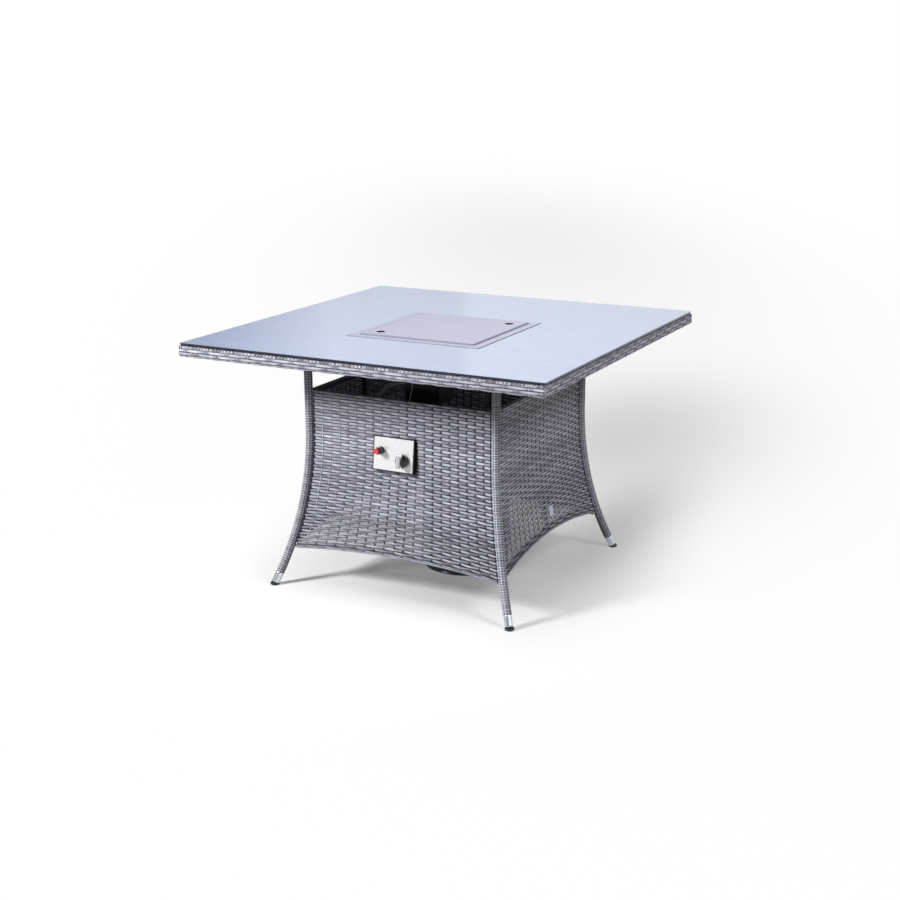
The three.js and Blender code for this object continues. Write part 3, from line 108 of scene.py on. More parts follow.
class Nodes:
    """A short way to write a material's node tree."""

    def __init__(self, name, world=False):
        owner = bpy.data.worlds.new(name) if world else bpy.data.materials.new(name)
        owner.use_nodes = True
        owner.node_tree.nodes.clear()
        self.name, self.owner, self.tree = name, owner, owner.node_tree
        self.out = self.add("OutputWorld" if world else "OutputMaterial")

    def add(self, kind, inputs=None, **settings):
        node = self.tree.nodes.new("ShaderNode" + kind)
        for key, value in settings.items():
            setattr(node, key, value)
        for key, value in (inputs or {}).items():
            self.put(node.inputs[key], value)
        return node

    def put(self, socket, value):
        if hasattr(value, "links"):
            self.tree.links.new(value, socket)
        else:
            socket.default_value = value

    def math(self, operation, *values):
        return self.add("Math", dict(enumerate(values)), operation=operation).outputs[0]

    def mix(self, factor, a, b, blend="MIX"):
        colours = {0: factor, 6: a, 7: b}
        return self.add("Mix", colours, data_type="RGBA", blend_type=blend).outputs[2]

    def noise(self, where, scale, detail=3, roughness=0.5):
        settings = {"Vector": where, "Scale": scale, "Detail": detail, "Roughness": roughness}
        return self.add("TexNoise", settings).outputs["Fac"]

    def ramp(self, factor, *stops):
        node = self.add("ValToRGB", {"Fac": factor})
        ramp = node.color_ramp
        while len(ramp.elements) < len(stops):
            ramp.elements.new(0.5)
        for element, (position, colour) in zip(ramp.elements, stops):
            element.position, element.color = position, colour
        return node.outputs["Color"]

    def place(self, scale=(1, 1, 1)):
        where = self.add("TexCoord").outputs["Object"]
        return self.add("Mapping", {"Vector": where, "Scale": scale}).outputs["Vector"]

    def bump(self, height, strength, distance):
        settings = {"Height": height, "Strength": strength, "Distance": distance}
        return self.add("Bump", settings).outputs["Normal"]

    def finish(self, **inputs):
        """Ends the material in a principled shader and keeps it as a finish."""
        shader = self.add("BsdfPrincipled",
                          {key.replace("_", " "): value for key, value in inputs.items()})
        self.put(self.out.inputs["Surface"], shader.outputs[0])
        FINISH[self.name] = self.owner


def surface(name, colour, rough, metal=0.0, spread=0.08, patch=18, grain=900, depth=0.00002,
            stretch=(1, 1, 1), rough_spread=0.08, **extra):
    """A finish with soft patches in its colour, a fine grain in its height and an uneven gloss."""
    n = Nodes(name)
    patches = n.noise(n.place(), patch, 4)
    fine = n.noise(n.place(stretch), grain, 3, 0.6)
    dark = tuple(c * (1 - spread) for c in colour[:3]) + (1,)
    light = tuple(min(1, c * (1 + spread)) for c in colour[:3]) + (1,)
    mixed = n.mix(n.math("MULTIPLY_ADD", fine, 0.5, n.math("MULTIPLY", patches, 0.5)), dark, light)
    roughness = n.math("ADD", n.math("MULTIPLY", n.math("SUBTRACT", fine, 0.5), rough_spread), rough)
    n.finish(Base_Color=mixed, Roughness=roughness, Metallic=metal,
             Normal=n.bump(fine, 0.6, depth), **extra)


def rattan(name, dark, middle, light):
    """Flat woven strand: its own tone, the painted light and shade of its shade mark, lengthwise
    streaks, and sides darkened as painted shade.
    """
    n = Nodes(name)
    strand = n.add("Attribute", attribute_name="strand").outputs["Vector"]
    along, across, tone = n.add("SeparateXYZ", {"Vector": strand}).outputs

    def stretched(x, y, z):
        """The strand's own space, drawn out by three factors."""
        factors = {"X": n.math("MULTIPLY", along, x), "Y": n.math("MULTIPLY", across, y),
                   "Z": n.math("MULTIPLY", tone, z)}
        return n.add("CombineXYZ", factors).outputs[0]

    streaks = n.noise(stretched(14, 4.5, 97), 1.0, 4, 0.65)
    lengths = n.noise(stretched(24, 0, 61), 1.0, 1)
    level = n.math("ADD", n.math("MULTIPLY", streaks, 0.6), n.math("MULTIPLY", lengths, 0.45))
    # The shade mark adds painted light and shade to the strand's level.
    shade = n.add("Attribute", attribute_name="shade").outputs["Fac"]
    level = n.math("ADD", n.math("MULTIPLY_ADD", shade, 0.12, level),
                   n.math("MULTIPLY_ADD", tone, 0.26, -0.12))
    colour = n.ramp(level, (0.12, dark), (0.5, middle), (0.85, light))
    # Painted shade: the strand's sides are darkened, standing for the shade in the gaps between rows.
    side = n.add("MapRange", {"Value": n.math("ABSOLUTE", across), "From Min": 0.54, "From Max": 0.8,
                              "To Max": 0.95}, interpolation_type="SMOOTHSTEP").outputs[0]
    colour = n.mix(side, colour, dark)
    n.finish(Base_Color=colour, Roughness=n.math("MULTIPLY_ADD", streaks, 0.25, 0.36),
             Normal=n.bump(streaks, 0.5, 0.0004), Specular_IOR_Level=0.35)


def brushed(name, colour, rough, stretch, metal=0.6):
    """Metal with fine lines along one axis and soft clouds."""
    n = Nodes(name)
    lines = n.noise(n.place(stretch), 60, 4, 0.7)
    clouds = n.noise(n.place(), 7, 3)
    level = n.math("ADD", n.math("MULTIPLY", lines, 0.35), n.math("MULTIPLY", clouds, 0.65))
    dark = tuple(c * 0.86 for c in colour[:3]) + (1,)
    n.finish(Base_Color=n.mix(level, dark, colour), Metallic=metal,
             Roughness=n.math("MULTIPLY_ADD", lines, 0.14, rough - 0.07),
             Normal=n.bump(lines, 0.25, 0.00002))


def lava_rock():
    """Brown rock with dark pores."""
    n = Nodes("lava_rock")
    where = n.place()
    pores = n.add("TexVoronoi", {"Vector": where, "Scale": 210}).outputs["Distance"]
    lumps = n.noise(where, 70, 5, 0.65)
    pits = n.math("SMOOTH_MIN", pores, 0.45, 0.2)
    colour = n.ramp(lumps, (0.3, linear(38, 30, 29)), (0.55, linear(82, 64, 58)),
                    (0.75, linear(120, 98, 88)))
    colour = n.mix(n.math("GREATER_THAN", pits, 0.22), linear(24, 20, 20), colour)
    height = n.math("ADD", pits, n.math("MULTIPLY", lumps, 0.8))
    n.finish(Base_Color=colour, Roughness=0.92, Normal=n.bump(height, 0.9, 0.0012))


def glass():
    """Pale blue glass, with the weave under it painted faintly into its colour."""
    n = Nodes("glass")
    haze = n.noise(n.place(), 3, 2)
    # The weave under the glass is painted into its colour as faint brick lines with darker joints.
    weave = n.add("TexBrick", {
        "Vector": n.place(), "Color1": (1, 1, 1, 1), "Color2": (0.94, 0.945, 0.95, 1),
        "Mortar": (0.86, 0.865, 0.88, 1), "Scale": 1.0, "Mortar Size": 0.0012, "Mortar Smooth": 0.6,
        "Brick Width": 0.0705, "Row Height": 0.0089})
    colour = n.mix(haze, linear(196, 210, 242), linear(203, 216, 246))
    colour = n.mix(1.0, colour, weave.outputs["Color"], "MULTIPLY")
    n.finish(Base_Color=colour, Roughness=0.03, IOR=1.5, Transmission_Weight=0.3,
             Normal=n.bump(haze, 0.03, 0.0005))


def mirror_steel():
    """Polished steel, a little wavy and smeared."""
    n = Nodes("mirror_steel")
    waves = n.noise(n.place(), 14, 2)
    smears = n.noise(n.place((1, 1, 3)), 45, 4)
    n.finish(Base_Color=n.mix(smears, linear(240, 240, 243), linear(252, 252, 253)), Metallic=0.45,
             Roughness=n.math("MULTIPLY_ADD", smears, 0.12, 0.2), Normal=n.bump(waves, 0.1, 0.001))


rattan("rattan", linear(42, 42, 52), linear(147, 147, 160), linear(228, 228, 242))
glass()
mirror_steel()
lava_rock()
brushed("satin_steel", linear(197, 199, 218), 0.5, (1, 24, 1))
brushed("tray_steel", linear(198, 201, 222), 0.5, (1, 24, 1))
# The darker edge steel, painted on the lid's and tray's upright faces as shade.
brushed("steel_edge", linear(150, 150, 166), 0.7, (24, 24, 1))
surface("frame_steel", linear(34, 34, 37), 0.45, spread=0.15, grain=1500, depth=0.00004)
surface("black_steel", linear(26, 26, 29), 0.42, spread=0.15, grain=1400, depth=0.00004)
surface("glass_edge", linear(14, 18, 34), 0.12, spread=0.2, patch=6, grain=120, Coat_Weight=0.4)
surface("silicone", linear(214, 214, 210), 0.5, spread=0.05, Subsurface_Weight=0.1)
surface("dark_chrome", linear(74, 70, 70), 0.22, 1.0, spread=0.2, grain=500)
surface("knob_chrome", linear(214, 214, 220), 0.16, 1.0, spread=0.04, grain=500)
surface("brass", linear(196, 158, 92), 0.3, 1.0, spread=0.12)
surface("cast_iron", linear(48, 48, 50), 0.62, 0.4, spread=0.25, grain=420, depth=0.00025)
surface("ceramic", linear(232, 228, 218), 0.55, spread=0.04)
surface("copper", linear(196, 128, 88), 0.32, 1.0, spread=0.15)
surface("aluminium", linear(206, 208, 218), 0.3, 1.0, spread=0.05, grain=500, depth=0.000004,
        stretch=(1, 1, 0.08), rough_spread=0.05)
surface("black_plastic", linear(36, 38, 43), 0.4, spread=0.2, grain=1600, depth=0.00006)
surface("red_plastic", linear(238, 52, 62), 0.28, spread=0.06, Coat_Weight=0.3)
surface("green_paint", linear(14, 62, 50), 0.3, spread=0.18, patch=8, grain=160, depth=0.0003,
        Coat_Weight=0.3)
surface("grey_hose", linear(158, 158, 163), 0.46, 0.25, spread=0.15, grain=700)
surface("black_rubber", linear(28, 28, 30), 0.58, spread=0.2, grain=800)


# ---- Mesh helpers ----

def linked(name, data=None, points=(), faces=()):
    """A new object in the scene, from its data or from a mesh's points in mm and faces."""
    if data is None:
        data = bpy.data.meshes.new(name)
        data.from_pydata((np.asarray(points) * MM).tolist(), [], faces)
    made = bpy.data.objects.new(name, data)
    bpy.context.scene.collection.objects.link(made)
    return made


def make(name, points, faces, finish, sharp=35, body="base", replaces=()):
    """A piece from points in mm and faces, riding on a body and standing for CAD nodes."""
    piece = linked(name, points=points, faces=faces)
    mesh = piece.data
    mesh.polygons.foreach_set("use_smooth", [True] * len(mesh.polygons))
    mesh.set_sharp_from_angle(angle=math.radians(sharp))
    mesh.materials.append(FINISH[finish])
    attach(piece, body)
    if replaces:
        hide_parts(*replaces)
    return piece


def loft(loops, wrap=False):
    """Points and faces of a skin over closed loops with equal counts; its ends are capped."""
    loops = [np.asarray(loop, float) for loop in loops]
    count = len(loops[0])
    faces = []
    rows = len(loops) if wrap else len(loops) - 1
    for i in range(rows):
        a, b = i * count, (i + 1) % len(loops) * count
        for j in range(count):
            k = (j + 1) % count
            faces.append((a + j, a + k, b + k, b + j))
    if not wrap:
        faces.append(tuple(range(count))[::-1])
        last = (len(loops) - 1) * count
        faces.append(tuple(range(last, last + count)))
    return np.concatenate(loops), faces


def merged(*shapes):
    """Several (points, faces) pairs as one."""
    points, faces, start = [], [], 0
    for shape_points, shape_faces in shapes:
        points.append(np.asarray(shape_points, float))
        faces += [tuple(start + k for k in face) for face in shape_faces]
        start += len(shape_points)
    return np.concatenate(points), faces


def softened(outline, radius, closed=False):
    """A 2-D outline with its corners rounded off."""
    outline = [np.asarray(p, float) for p in outline]
    result = [] if closed else [outline[0]]
    for i in range(len(outline)) if closed else range(1, len(outline) - 1):
        before, corner, after = outline[i - 1], outline[i], outline[(i + 1) % len(outline)]
        back, ahead = before - corner, after - corner
        reach = min(radius, np.linalg.norm(back) * 0.45, np.linalg.norm(ahead) * 0.45)
        start = corner + back / np.linalg.norm(back) * reach
        end = corner + ahead / np.linalg.norm(ahead) * reach
        for s in np.linspace(0, 1, 4):
            result.append((1 - s) ** 2 * start + 2 * s * (1 - s) * corner + s * s * end)
    if not closed:
        result.append(outline[-1])
    return result


def circle(radius, height, sides=48, centre=(0, 0)):
    """A level loop, tiny where the radius is 0."""
    turn = np.linspace(0, 2 * math.pi, sides, endpoint=False)
    radius = max(radius, 0.01)
    return np.stack([centre[0] + radius * np.cos(turn), centre[1] + radius * np.sin(turn),
                     np.full(sides, float(height))], 1)


def turned(profile, edge=0.6, sides=48, centre=(0, 0), wrap=False):
    """A body of revolution about Z from radius and height pairs, going up."""
    outline = softened(profile, edge, closed=wrap)
    return loft([circle(r, z, sides, centre) for r, z in outline], wrap)


def square(half, corner, height, centre=(0, 0), steps=6):
    """A rounded square loop, counterclockwise."""
    corner = max(min(corner, half * 0.98), 0.2)
    points = []
    for quarter in range(4):
        middle = math.pi / 4 + quarter * math.pi / 2
        cx = (half - corner) * (1 if quarter in (0, 3) else -1)
        cy = (half - corner) * (1 if quarter in (0, 1) else -1)
        for s in np.linspace(-math.pi / 4, math.pi / 4, steps + 1):
            points.append((centre[0] + cx + corner * math.cos(middle + s),
                           centre[1] + cy + corner * math.sin(middle + s), height))
    return np.array(points)


def squared(profile, corner, centre, edge):
    """Like turned, but square in plan: profile gives half widths and heights."""
    return loft([square(half, corner, z, centre) for half, z in softened(profile, edge)])


def taken(bm):
    """The points and faces of a bmesh, which is freed."""
    bm.verts.index_update()
    points = np.array([tuple(v.co) for v in bm.verts])
    faces = [tuple(v.index for v in f.verts) for f in bm.faces]
    bm.free()
    return points, faces


def block(low, high, bevel=1.0, segments=3):
    """A box with rounded edges."""
    bm = bmesh.new()
    bmesh.ops.create_cube(bm, size=1)
    low, high = Vector(low), Vector(high)
    for v in bm.verts:
        v.co = Vector(low[k] + (v.co[k] + 0.5) * (high[k] - low[k]) for k in range(3))
    bmesh.ops.bevel(bm, geom=bm.edges[:], offset=bevel, segments=segments, affect="EDGES",
                    profile=0.5)
    return taken(bm)


def placed(shape, matrix):
    """A (points, faces) pair moved by a 4x4 matrix in mm."""
    points = np.c_[shape[0], np.ones(len(shape[0]))] @ np.array(matrix).T
    return points[:, :3], shape[1]


def circled(shape, count, centre=(0, 0)):
    """Copies of a (points, faces) pair, evenly round an upright axis."""
    there = Matrix.Translation((*centre, 0))
    return [placed(shape, there @ Matrix.Rotation(2 * math.pi * k / count, 4, "Z"))
            for k in range(count)]


def frames(path, up=(0.31, 0.17, 0.93)):
    """Two normals along a path, turning as little as they can."""
    tangent = np.gradient(path, axis=0)
    tangent /= np.linalg.norm(tangent, axis=1)[:, None]
    side = np.cross(tangent[0], up)
    first = []
    for t in tangent:
        side = side - t * side.dot(t)
        side /= np.linalg.norm(side)
        first.append(side)
    first = np.array(first)
    return first, np.cross(tangent, first)


def tube(path, radius, sides=16):
    """A round tube along a path, with one radius or one for each point."""
    path = np.asarray(path, float)
    first, second = frames(path)
    radii = np.broadcast_to(radius, len(path))
    turn = np.linspace(0, 2 * math.pi, sides, endpoint=False)
    loops = [p + r * (np.cos(turn)[:, None] * a + np.sin(turn)[:, None] * b)
             for p, r, a, b in zip(path, radii, first, second)]
    return loft(loops)


CURVE_ROUNDS = ((0, 1), (1, 2), (2, 3)), ((0, 2), (1, 3)), ((1, 2),)  # Barry and Goldman's knots


def smooth_path(points, step):
    """A centripetal Catmull-Rom curve through points, in even steps."""
    p = np.asarray(points, float)
    p = np.vstack([2 * p[0] - p[1], p, 2 * p[-1] - p[-2]])
    fine = []
    for i in range(1, len(p) - 2):
        level = p[i - 1:i + 3]
        knots = np.r_[0, np.cumsum(np.linalg.norm(np.diff(level, axis=0), axis=1) ** 0.5)]
        t = np.linspace(knots[1], knots[2], 24, endpoint=i == len(p) - 3)[:, None]
        for spans in CURVE_ROUNDS:
            level = [((knots[end] - t) * level[k] + (t - knots[start]) * level[k + 1])
                     / (knots[end] - knots[start]) for k, (start, end) in enumerate(spans)]
        fine.append(level[0])
    return even(np.concatenate(fine), step)


def even(path, step):
    """A path resampled in even steps."""
    distance = np.r_[0, np.cumsum(np.linalg.norm(np.diff(path, axis=0), axis=1))]
    marks = np.linspace(0, distance[-1], max(2, round(distance[-1] / step) + 1))
    return np.stack([np.interp(marks, distance, path[:, k]) for k in range(3)], 1)


class Strands:
    """Woven strands gathered into one mesh: flat or round sections swept along paths."""

    FLAT = np.array([(-1, -0.5), (1, -0.5), (0.92, 0.1), (0.5, 0.42), (0, 0.5), (-0.5, 0.42),
                     (-0.92, 0.1)])
    THIN = np.array([(-1, -0.5), (1, -0.5), (0.7, 0.35), (0, 0.5), (-0.7, 0.35)])
    ROUND = np.array([(math.cos(a), math.sin(a) / 2) for a in np.linspace(0, 2 * math.pi, 9)[:-1]])

    def __init__(self):
        self.points, self.faces, self.marks, self.shades, self.count = [], [], [], [], 0

    def add(self, path, outward, half_width, thickness, section=None, tone=None, closed=False,
            shade=0.0):
        """Adds a strand that faces outward; tone and shade colour it, by chance or as given."""
        section = self.FLAT if section is None else section
        path, outward = np.asarray(path, float), np.asarray(outward, float)
        rows, wide = len(path), len(section)
        if closed:
            tangent = np.roll(path, -1, 0) - np.roll(path, 1, 0)
        else:
            tangent = np.gradient(path, axis=0)
        tangent /= np.linalg.norm(tangent, axis=1)[:, None]
        across = np.cross(tangent, outward)
        across /= np.linalg.norm(across, axis=1)[:, None]
        up = np.cross(across, tangent)
        points = (path[:, None] + across[:, None] * section[None, :, :1] * half_width
                  + up[:, None] * section[None, :, 1:] * thickness)
        self.points.append(points.reshape(-1, 3))
        steps = np.linalg.norm(np.diff(path, axis=0), axis=1)
        along = np.r_[0, np.cumsum(steps)] * MM
        tone = rng.random() if tone is None else tone
        marks = np.zeros((rows, wide, 3))
        marks[..., 0] = along[:, None] + rng.random() * 9
        marks[..., 1] = section[None, :, 0]
        marks[..., 2] = tone
        self.marks.append(marks.reshape(-1, 3))
        self.shades.append(np.repeat(np.broadcast_to(shade, rows), wide))
        i, j = np.meshgrid(np.arange(rows if closed else rows - 1), np.arange(wide), indexing="ij")
        i2, j2 = (i + 1) % rows, (j + 1) % wide
        quads = np.stack([i * wide + j, i2 * wide + j, i2 * wide + j2, i * wide + j2], -1) + self.count
        self.faces += [tuple(q) for q in quads.reshape(-1, 4).tolist()]
        if not closed:
            first = list(range(self.count, self.count + wide))
            self.faces += [tuple(first), tuple(k + (rows - 1) * wide for k in reversed(first))]
        self.count += rows * wide

    def finish(self, name, turn=0, replaces=()):
        """Makes the piece, turned about Z in degrees, with its marks for the material."""
        points = np.concatenate(self.points)
        c, s = math.cos(math.radians(turn)), math.sin(math.radians(turn))
        points = points @ np.array([[c, s, 0], [-s, c, 0], [0, 0, 1]])
        piece = make(name, points, self.faces, "rattan", 80, replaces=replaces)
        mark = piece.data.attributes.new("strand", "FLOAT_VECTOR", "POINT")
        mark.data.foreach_set("vector", np.concatenate(self.marks).ravel())
        shade = piece.data.attributes.new("shade", "FLOAT", "POINT")
        shade.data.foreach_set("value", np.concatenate(self.shades))


def wave(angle):
    """A cosine with flattened crests, for a strand that runs over and under."""
    return np.tanh(2.2 * np.cos(angle)) / math.tanh(2.2)


# ---- Legs ----

LEG_SWING = math.sqrt(2) * (FOOT_REACH - LEG_REACH)
LEG_BEND = (KNEE ** 2 + LEG_SWING ** 2) / (2 * LEG_SWING)
WRAP_STRIPS = 9
WRAP_PITCH = 7.3  # from cord to cord


def leg_offset(height):
    """How far the leg stands out from its upper line, along X and along Y."""
    drop = np.maximum(KNEE - np.asarray(height, float), 0)
    return (LEG_BEND - np.sqrt(LEG_BEND ** 2 - drop ** 2)) / math.sqrt(2)


def leg_path(corner, heights):
    """The leg's middle line at some heights."""
    reach = LEG_REACH + leg_offset(heights)
    return np.stack([corner[0] * reach, corner[1] * reach, heights], 1)


def leg_wrap(name, corner):
    """Cords and flat rings in turn, over strips that run down the leg; the cords and strips are painted
    light and the rings between the cords dark, as painted light and shade.
    """
    weave = Strands()
    spine = even(leg_path(corner, np.linspace(37, 704.5, 120)), WRAP_PITCH / 4)
    first, second = frames(spine, up=(0, 1, 0.001))
    turn = np.linspace(0, 2 * math.pi, WRAP_STRIPS * 4, endpoint=False)
    ring_radius = LEG_WRAP_RADIUS - 1.2 + 0.25 * wave(turn * WRAP_STRIPS + 0.6)[:, None]
    # The shade marks below are painted light and shade: the cords and strips that stand out are
    # lighter, the rings between the cords darker.
    for i in range(2, len(spine) - 2, 2):
        out = np.cos(turn)[:, None] * first[i] + np.sin(turn)[:, None] * second[i]
        if i % 4 == 0:
            cord = spine[i] + out * (LEG_WRAP_RADIUS - 0.65)
            weave.add(cord, out, 1.5, 1.3, Strands.ROUND, closed=True, shade=2.4)
        else:
            ring = spine[i] + out * ring_radius
            weave.add(ring, out, 2.6, 0.9, Strands.THIN, closed=True, shade=-1.6)
    for k in range(WRAP_STRIPS):
        angle = 2 * math.pi * (k + 0.5) / WRAP_STRIPS
        out = math.cos(angle) * first + math.sin(angle) * second
        weave.add(spine + out * (LEG_WRAP_RADIUS - 0.85), out, 1.5, 0.9, Strands.THIN, shade=2.0)
    weave.finish(f"wrap_{name}", replaces=[f"leg_wrap_{name}"])


def leg_foot(name, corner):
    """The bright ferrule, with softened ends, and the glide under it."""
    ferrule = even(leg_path(corner, np.linspace(8.3, 37.2, 12)), 1.2)
    radii = np.full(len(ferrule), 11.8)
    radii[[0, -1]] = 11.1
    radii[[1, -2]] = 11.65
    make(f"ferrule_{name}", *tube(ferrule, radii, 40), "aluminium", replaces=[f"leg_ferrule_{name}"])
    x, y = leg_path(corner, np.array([4.0]))[0][:2]
    glide = turned([(0, 0), (11.2, 0), (13.5, 2), (13.5, 6.5), (11.9, 8), (0, 8)], 0.8, 40, (x, y))
    make(f"glide_{name}", *glide, "black_plastic", replaces=[f"leg_glide_{name}"])


# ---- Panels, drawn as the front one and turned ----

ROWS, COLUMNS = 51, 21  # a stake stands between each two columns
COLUMN_DRIFT = 0.06  # how much closer the stakes stand at the right than at the left
MID_SURFACE = 2.5
ROW_HALF, STAKE_HALF = 4.8, 2.3  # half widths
ROW_SWAY, STAKE_SWAY = 1.1, 0.8  # how far they swing out and in
ROW_END = 0.992  # the share of the half width at which a row turns in


def panel_half(height):
    """Half of the panel's width between the legs."""
    return LEG_REACH + leg_offset(height) - LEG_WRAP_RADIUS - 1


def panel_point(share, rise, low, crown):
    """Where a share of the half width and a share of the height lie on the panel."""
    share, rise = np.broadcast_arrays(np.asarray(share, float), np.asarray(rise, float))
    base = low + rise * (PANEL_TOP - low)
    height = base + (crown - low) * (1 - share ** 2) * (1 - rise) ** 2
    return share * panel_half(base), height


def panel_surface(x, height, out):
    """A point in front of the panel's middle surface, and the way out there."""
    y = -(LEG_REACH + leg_offset(height)) + MID_SURFACE
    slope = (leg_offset(height - 1) - leg_offset(height + 1)) / 2
    normal = np.stack([np.zeros_like(x), -np.ones_like(x), -slope], 1)
    normal /= np.linalg.norm(normal, axis=1)[:, None]
    return np.stack([x, y, height], 1) + normal * np.asarray(out)[:, None], normal


def outside_hole(x, height, margin):
    """Where points keep a margin from the control box's hole."""
    left, right, bottom, top = CONTROL_HOLE
    return ((x < left - margin) | (x > right + margin)
            | (height < bottom - margin) | (height > top + margin))


def runs(keep):
    """The index ranges over which a mask holds."""
    edges = np.flatnonzero(np.diff(np.r_[0, keep.astype(int), 0]))
    return [slice(a, b) for a, b in zip(edges[::2], edges[1::2]) if b - a > 2]


def slant(angle):
    """Nearly straight slopes between rounded crests, for a strand that runs over and under."""
    return np.arcsin(0.95 * np.cos(angle)) / math.asin(0.95)


def hidden(over, start):
    """Rises from 0 to 1 where a strand dives under the one that it crosses, for painted shade there."""
    return np.clip((-over - start) / (1 - start), 0, 1)


def lay(weave, side, x, height, out, half_width, section=None, tone=None, shade=None):
    """A strand on a panel's surface, left out where the front panel's control box is."""
    path, normal = panel_surface(x, height, out)
    keep = outside_hole(x, height, 1) if side == "front" else np.full(len(x), True)
    for part in runs(keep):
        weave.add(path[part], normal[part], half_width, 1.3, section, tone=tone, shade=shade[part])


def panel(side):
    """A panel's rows and stakes, then the round strands along its edges."""
    turn, low, crown = SIDES[side]
    weave = Strands()
    share = np.linspace(-1, 1, COLUMNS * 8 + 1)
    part_way = (share + 1) / 2
    column = COLUMNS * part_way * (1 - COLUMN_DRIFT * (1 - part_way))
    swell = rng.uniform(0, 6)
    for row in range(ROWS):
        x, height = panel_point(share, (row + 0.5) / ROWS, low, crown)
        over = slant(math.pi * (column + row))
        rising = np.clip(np.gradient(over) * 5, -1, 1)  # painted light: the rising halves are painted lighter and the falling halves darker, more so towards the right
        # Painted shade darkens each row where it dives under a stake.
        shade = 0.65 + (0.3 + 0.45 * part_way) * rising - 2.0 * hidden(over, 0.75)
        tucked = np.maximum(np.abs(share) - ROW_END, 0) * 100  # the ends turn in behind the border
        tone = 0.55 + 0.2 * math.sin(0.42 * row + swell) + rng.uniform(-0.25, 0.25)
        lay(weave, side, x, height, ROW_SWAY * over - tucked, ROW_HALF, tone=tone, shade=shade)
    rise = np.linspace(0.004, 0.996, ROWS * 3 + 1)
    for stake in range(1, COLUMNS):
        at = np.interp(stake, column, share)
        x, height = panel_point(at, rise, low, crown)
        out = 0.1 - STAKE_SWAY * slant(math.pi * (rise * ROWS - 0.5 + stake))
        # Painted light and shade: the stakes are painted from light at the upper left to dark at the
        # lower right.
        shade = 1.6 - 4.0 * np.clip(0.8 * (at + 1) + 0.7 * (1 - rise) - 0.25, 0, 1)
        lay(weave, side, x, height, out, STAKE_HALF, Strands.THIN, shade=shade)
    weave.finish(f"panel_{side}", turn, replaces=[f"panel_weave_{side}"])

    border = Strands()
    share = np.linspace(-0.985, 0.985, 421)
    bumps = 0.16 * np.cos(np.arange(len(share)) * math.pi * 0.5)
    # The top border is painted dark by its shade mark, as painted shadow under the tabletop.
    for rise, half_width, thickness, tone, shade in ((0.004, 3.6, 4.6, 0.8, 0),
                                                     (0.997, 2.2, 4.0, 0.1, -2.5)):
        path, normal = panel_surface(*panel_point(share, rise, low, crown), bumps)
        border.add(path, normal, half_width, thickness, Strands.ROUND, tone=tone, shade=shade)
    if side == "front":  # painted shade: a dark strand up its right end, for the gap between the panel and the leg
        rise = np.linspace(0.01, 0.99, 161)
        path, normal = panel_surface(*panel_point(0.988, rise, low, crown), np.full(len(rise), 0.9))
        border.add(path, normal, 2.0, 2.0, Strands.THIN, tone=0.0, shade=-5.0)
    border.finish(f"border_{side}", turn, replaces=[f"panel_weave_{side}"])


# ---- Tabletop weave ----

RIM_STAKES = 32  # on each side
RIM_ROW = 8.9
RIM_PITCH = 2 * TOP_HALF / RIM_STAKES
RIM_STRAIGHT = 1 - RIM_CORNER * math.pi / 2 / (2 * TOP_HALF)  # of each side's share
ROW_START = 7.5  # from the deck's edge to the first row


def rim_outline(share, inset):
    """Points round the table at shares of each side, moved in from the edge, and the ways out."""
    corner = np.maximum(RIM_CORNER - inset, 2)
    side, part = np.floor(share).astype(int) % 4, share % 1
    reach = TOP_HALF - inset - corner
    flat = part < RIM_STRAIGHT
    run = np.where(flat, -reach + 2 * reach * part / RIM_STRAIGHT, reach)
    angle = np.where(flat, 0, (part - RIM_STRAIGHT) / (1 - RIM_STRAIGHT) * math.pi / 2)
    out_x, out_y = np.sin(angle), -np.cos(angle)
    x, y = run + corner * out_x, -reach + corner * out_y
    cos, sin = np.cos(side * math.pi / 2), np.sin(side * math.pi / 2)
    return (np.stack([x * cos - y * sin, x * sin + y * cos], 1),
            np.stack([out_x * cos - out_y * sin, out_x * sin + out_y * cos], 1))


def rim_profile(distance):
    """Inset, height and the way out, at distances over the rim from the deck's edge to the lip."""
    arc = math.pi / 2 * RIM_ROUNDING
    flank = RIM_TOP - RIM_BOTTOM - 2 * RIM_ROUNDING
    upper = np.clip(distance, 0, arc) / RIM_ROUNDING
    lower = np.clip(distance - arc - flank, 0, arc) / RIM_ROUNDING
    inset = (RIM_ROUNDING * (2 - np.sin(upper) - np.cos(lower))
             + np.maximum(distance - 2 * arc - flank, 0))
    height = (RIM_TOP - RIM_ROUNDING * (1 - np.cos(upper) + np.sin(lower))
              - np.clip(distance - arc, 0, flank))
    return inset, height, np.sin(upper) * np.cos(lower), np.cos(upper) - np.sin(lower)


def rim_path(share, distance, sink):
    """A path round or over the rim, sunk below its surface, and the way out at each point."""
    share, distance, sink = np.broadcast_arrays(share, distance, sink)
    inset, height, sideways, upward = rim_profile(distance)
    flat, out = rim_outline(share, inset)
    normal = np.c_[out * sideways[:, None], upward]
    return np.c_[flat, height] - normal * sink[:, None], normal


